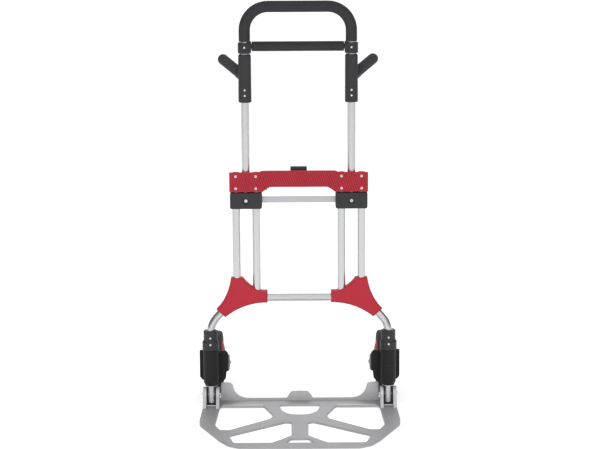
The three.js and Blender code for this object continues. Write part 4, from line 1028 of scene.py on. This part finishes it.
for side, s in SIDES.items():
    centre = Vector((s * WHEEL_X, AXLE_Y, WHEEL_R))
    body = f"wheel_{side}"
    tyre = bmesh.new()
    half_profile = [(RIM_R, 0), *beyond(RIM_R, (0, -3), (5, -0.8), base=TYRE_HALF)]
    half_profile += beyond(WHEEL_R, (-12, 0), (-5, -2.2), (-2.2, -6.5), (-0.6, -10), base=TYRE_HALF)
    half_profile += beyond(WHEEL_R, (-0.3, 9.2), (-GROOVE_DEEP, 8.6), (-GROOVE_DEEP, 6.8))
    half_profile += beyond(WHEEL_R, (-0.1, 6.2), (0, 1.5), (-GROOVE_DEEP, 0.9))
    profile = [(r, -x) for r, x in half_profile] + [(r, x) for r, x in reversed(half_profile)]
    profile = [p for k, p in enumerate(profile) if k == 0 or p != profile[k - 1]]
    spun(tyre, profile, centre, 96, closed=False)
    piece(tyre, f"rubber_tyre_{side}", tyre_rubber, body, [f"tyre_{side}"])

    hub = bmesh.new()
    rim = RIM_R - 0.4 * MM
    rim_half = 15 * MM
    boss = BORE_R + 12 * MM
    bulge = beyond(rim, (0, 0), (-1, 1), (-6, 2), base=rim_half)
    bulge += curved((rim - 8 * MM, rim_half + 2.4 * MM),
                    *beyond(boss, (41, -2.5), (0, -1.5), base=HUB_HALF), 10)
    bulge += beyond(boss, (-1, -1), (-2, 0), base=HUB_HALF) + beyond(BORE_R, (1, 0), (0, -1), base=HUB_HALF)
    dish = beyond(BORE_R, (0, 1), (1, 0), base=-HUB_HALF) + beyond(boss, (-2, 0), (0, 2), base=-HUB_HALF)
    dish += beyond(boss, (3, -14), (7, -10.5), (22, -11.5), base=HUB_HALF) + beyond(rim, (-9, 8))
    dish += beyond(rim, (-6, 2), (-5, 0), (0, 0), base=-rim_half)
    spun(hub, [(r, -s * x) for r, x in bulge + dish], centre, 80)
    for k in range(10):
        turn = Matrix.Rotation(k * math.pi / 5, 4, "X")
        place = Matrix.Translation(centre) @ turn
        outline = [(boss - 3 * MM, 4 * MM - HUB_HALF), (boss + 14 * MM, -6 * MM)]
        outline += beyond(rim, (-7, -6), (-7, 11)) + beyond(boss, (22, -10), (-3, -10), base=HUB_HALF)
        web = panel(hub, outline, lambda r, x: place @ Vector((-s * x, -1.3 * MM, r)))
        thicken(hub, [web], (turn @ Y) * 2.6 * MM)
    piece(hub, f"dished_hub_{side}", red_nylon, body, [f"wheel_hub_{side}"])

    # painted highlight: a thin pale ring laid at the edge of the red rim, where the rim's edge catches the
    # light
    highlight_band = bmesh.new()
    section = beyond(rim, (-6.2, 1.7), (-6, 2.8), (-3.4, 2.6), (-2.8, 1), base=rim_half)
    spun(highlight_band, [(r, -s * x) for r, x in section], centre, 80)
    piece(highlight_band, f"rim_edge_highlight_{side}", painted_rim_highlight, body)


# ---------------------------------------------------------------- toe plate
# One blasted aluminium casting: a flat plate with shaped windows, a low fence along its rear edge with a tab
# in the middle and a hump at each end, and two pairs of rounded ears that hold the hinge pins.
plate_metal = cast_aluminium("plate_metal", (0.42, 0.42, 0.435), (0.35, 0.35, 0.365), 0.5, 0.46)
# painted light: the fence's metal is the plate's metal made paler, for the upright fence, hump, tab and ears
fence_metal_painted_light = cast_aluminium("fence_metal_painted_light", (0.62, 0.62, 0.635), (0.54, 0.54, 0.555), 0.4, 0.46)
PLATE_THICK = 7 * MM
FENCE_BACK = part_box("toe_plate")[1].y
FENCE_THICK = 5 * MM
PLATE_HALF_REAR = 305.5 * MM
EAR_SLOT_HALF, EAR_INNER, EAR_OUTER, EAR_R = 15.2 * MM, 10 * MM, 11 * MM, 23.9 * MM
FENCE_TOP, HUMP_TOP, TAB_TOP = 15 * MM, 66 * MM, 38 * MM
EDGE_ROUND = 1.6 * MM


right_rim = beyond(0, (305.5, 47), (305.5, -20), (309.5, -168), (306.5, -210), (240, -365), (212, -412),
                   (176, -433))
rear_window = beyond(0, (250, -21), (253, -60), (260, -214), (242, -264), (214, -265), (92, -153), (82, -118),
                     (113, -21))
front_window = beyond(0, (214, -320), (45, -186), (26, -189), (25, -320), (83, -390), (197, -390))
front_slot = beyond(0, (-42, -390), (-27, -352), (27, -352), (42, -390))
plate_rim = rounded_outline([(-x, y) for x, y in right_rim] + right_rim[::-1], 18 * MM, 6)
middle_window = beyond(0, (-63, -6), (-62, -110), (0, -110), (62, -110), (63, -6))
windows = [rounded_outline(front_slot, 3 * MM, 4)]
windows.append(curved(*middle_window[:3], 10) + curved(*middle_window[2:], 10) + middle_window[4:])
for s in SIDES.values():
    for corners in (rear_window, front_window):
        windows.append(rounded_outline([(s * x, y) for x, y in corners], 9 * MM, 6))
    low_x, high_x = sorted((s * (LEG_X - EAR_SLOT_HALF), s * (LEG_X + EAR_SLOT_HALF)))
    windows.append([(low_x, -17 * MM), (high_x, -17 * MM), (high_x, 40 * MM), (low_x, 40 * MM)])


def inset(loop, distance):
    """The loop moved towards the material by a distance, with the material on the left of its way round."""
    made = []
    for before, point, after in zip(loop[-1:] + loop[:-1], loop, loop[1:] + loop[:1]):
        a, b = (point - before).normalized(), (after - point).normalized()
        left_a, left_b = Vector((-a.y, a.x)), Vector((-b.y, b.x))
        middle = (left_a + left_b).normalized()
        made.append(point + middle * distance / max(0.4, middle.dot(left_a)))
    return made


def turns_left(loop):
    return sum(a.x * b.y - b.x * a.y for a, b in zip(loop, loop[1:] + loop[:1])) > 0


plate = bmesh.new()
cap_edges = {"bottom": [], "top": []}
for number, loop in enumerate([plate_rim, *windows]):
    loop = [Vector(p) for p in loop]
    if turns_left(loop) != (number == 0):
        loop.reverse()
    levels = []
    for k in range(4):
        angle = math.pi / 2 * k / 3
        levels.append((EDGE_ROUND * (1 - math.sin(angle)), EDGE_ROUND * (1 - math.cos(angle))))
    levels = levels + [(shift, PLATE_THICK - z) for shift, z in reversed(levels)]
    rings = [[plate.verts.new((*p, z)) for p in inset(loop, shift)] for shift, z in levels]
    for below, above in zip(rings, rings[1:]):
        for k in range(len(loop)):
            nxt = (k + 1) % len(loop)
            plate.faces.new((below[k], below[nxt], above[nxt], above[k]))
    for key, verts in (("bottom", rings[0]), ("top", rings[-1])):
        cap_edges[key] += [plate.edges.get((a, b)) for a, b in zip(verts, verts[1:] + verts[:1])]
for edges in cap_edges.values():
    bmesh.ops.triangle_fill(plate, use_beauty=True, use_dissolve=False, edges=edges)

hump_edge = LEG_X - EAR_SLOT_HALF - EAR_INNER - 4 * MM
fence_end = PLATE_HALF_REAR - 10 * MM
fence_side = [(0, 1 * MM), (fence_end, 1 * MM), (fence_end, FENCE_TOP), (hump_edge + 1 * MM, FENCE_TOP)]
fence_side += beyond(hump_edge, (0, -3), (-3, 0), base=HUMP_TOP)
fence_side += curved(*beyond(hump_edge, (-22, 0), (-36, 0), (-38, -13), base=HUMP_TOP), 8)
fence_side += curved((hump_edge - 38 * MM, HUMP_TOP - 13 * MM), (hump_edge - 44 * MM, FENCE_TOP + 2 * MM),
                     (hump_edge - 88 * MM, FENCE_TOP), 12)
fence_side += [(hump_edge - 88 * MM, FENCE_TOP), (43 * MM, FENCE_TOP)]
fence_side += curved((41 * MM, FENCE_TOP + 1 * MM), (28 * MM, TAB_TOP), (22 * MM, TAB_TOP), 6)
fence_side += [(0, TAB_TOP)]
fence_outline = fence_side + [(-x, z) for x, z in reversed(fence_side[1:-1])]
fence = bmesh.new()
face = panel(fence, fence_outline, lambda x, z: (x, FENCE_BACK - FENCE_THICK, z))
thicken(fence, [face], Y * (FENCE_THICK - 0.3 * MM))
soften(fence, 1.2 * MM, 50, 3)

# ears: round about the pin, with a foot that spreads forwards into the plate
ear_outline = [(-48 * MM, 4 * MM), (FENCE_BACK - FENCE_THICK, 4 * MM), (EAR_R, HINGE_Z - 14 * MM)]
ear_outline += arc(EAR_R, (0, HINGE_Z), 0, 180, 18) + [(-EAR_R, HINGE_Z - 10 * MM), (-46 * MM, 7.5 * MM)]
for s in SIDES.values():
    for start, width in ((LEG_X + EAR_SLOT_HALF, EAR_OUTER), (LEG_X - EAR_SLOT_HALF - EAR_INNER, EAR_INNER)):
        face = panel(fence, ear_outline, lambda y, z: (s * start, y, z))
        ear_faces = thicken(fence, [face], X * s * width)
        bmesh.ops.recalc_face_normals(fence, faces=fence.faces)
        bevelled(fence, list(set(face.edges) | set(ear_faces[0].edges)), 1.3 * MM, 3)

# shallow ribs along the rear edge of the windows. The fence, the ears and these ribs take a paler copy of the
# plate's metal: painted light, for upright faces that stand brighter lit than the flat plate
for u in (-180, 180):
    add_box(fence, (u * MM, -12 * MM, PLATE_THICK), (124 * MM, 9 * MM, 2.4 * MM))
for face in fence.faces:
    face.material_index = 1
join(plate, fence)
casting = piece(plate, "cast_toe_plate", plate_metal, "toe_plate_fold", ["toe_plate"], 35)
casting.data.materials.append(fence_metal_painted_light)


# ---------------------------------------------------------------- hinge pins
# Bright steel pins through the ears and the foot blocks, with chamfered ends that stand a little proud.
for side, s in SIDES.items():
    pin_low, pin_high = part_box(f"hinge_pin_{side}")
    pin = bmesh.new()
    length, radius = pin_high.x - pin_low.x, (pin_high.z - pin_low.z) / 2
    profile = [(0, 0), *beyond(radius, (-1, 0), (0, 1))]
    profile += [*beyond(radius, (0, -1), (-1, 0), base=length), (0, length)]
    turned(pin, profile, (pin_low.x, 0, HINGE_Z), X, 28)
    piece(pin, f"hinge_bolt_{side}", polished_steel, "toe_plate_fold", [f"hinge_pin_{side}"])
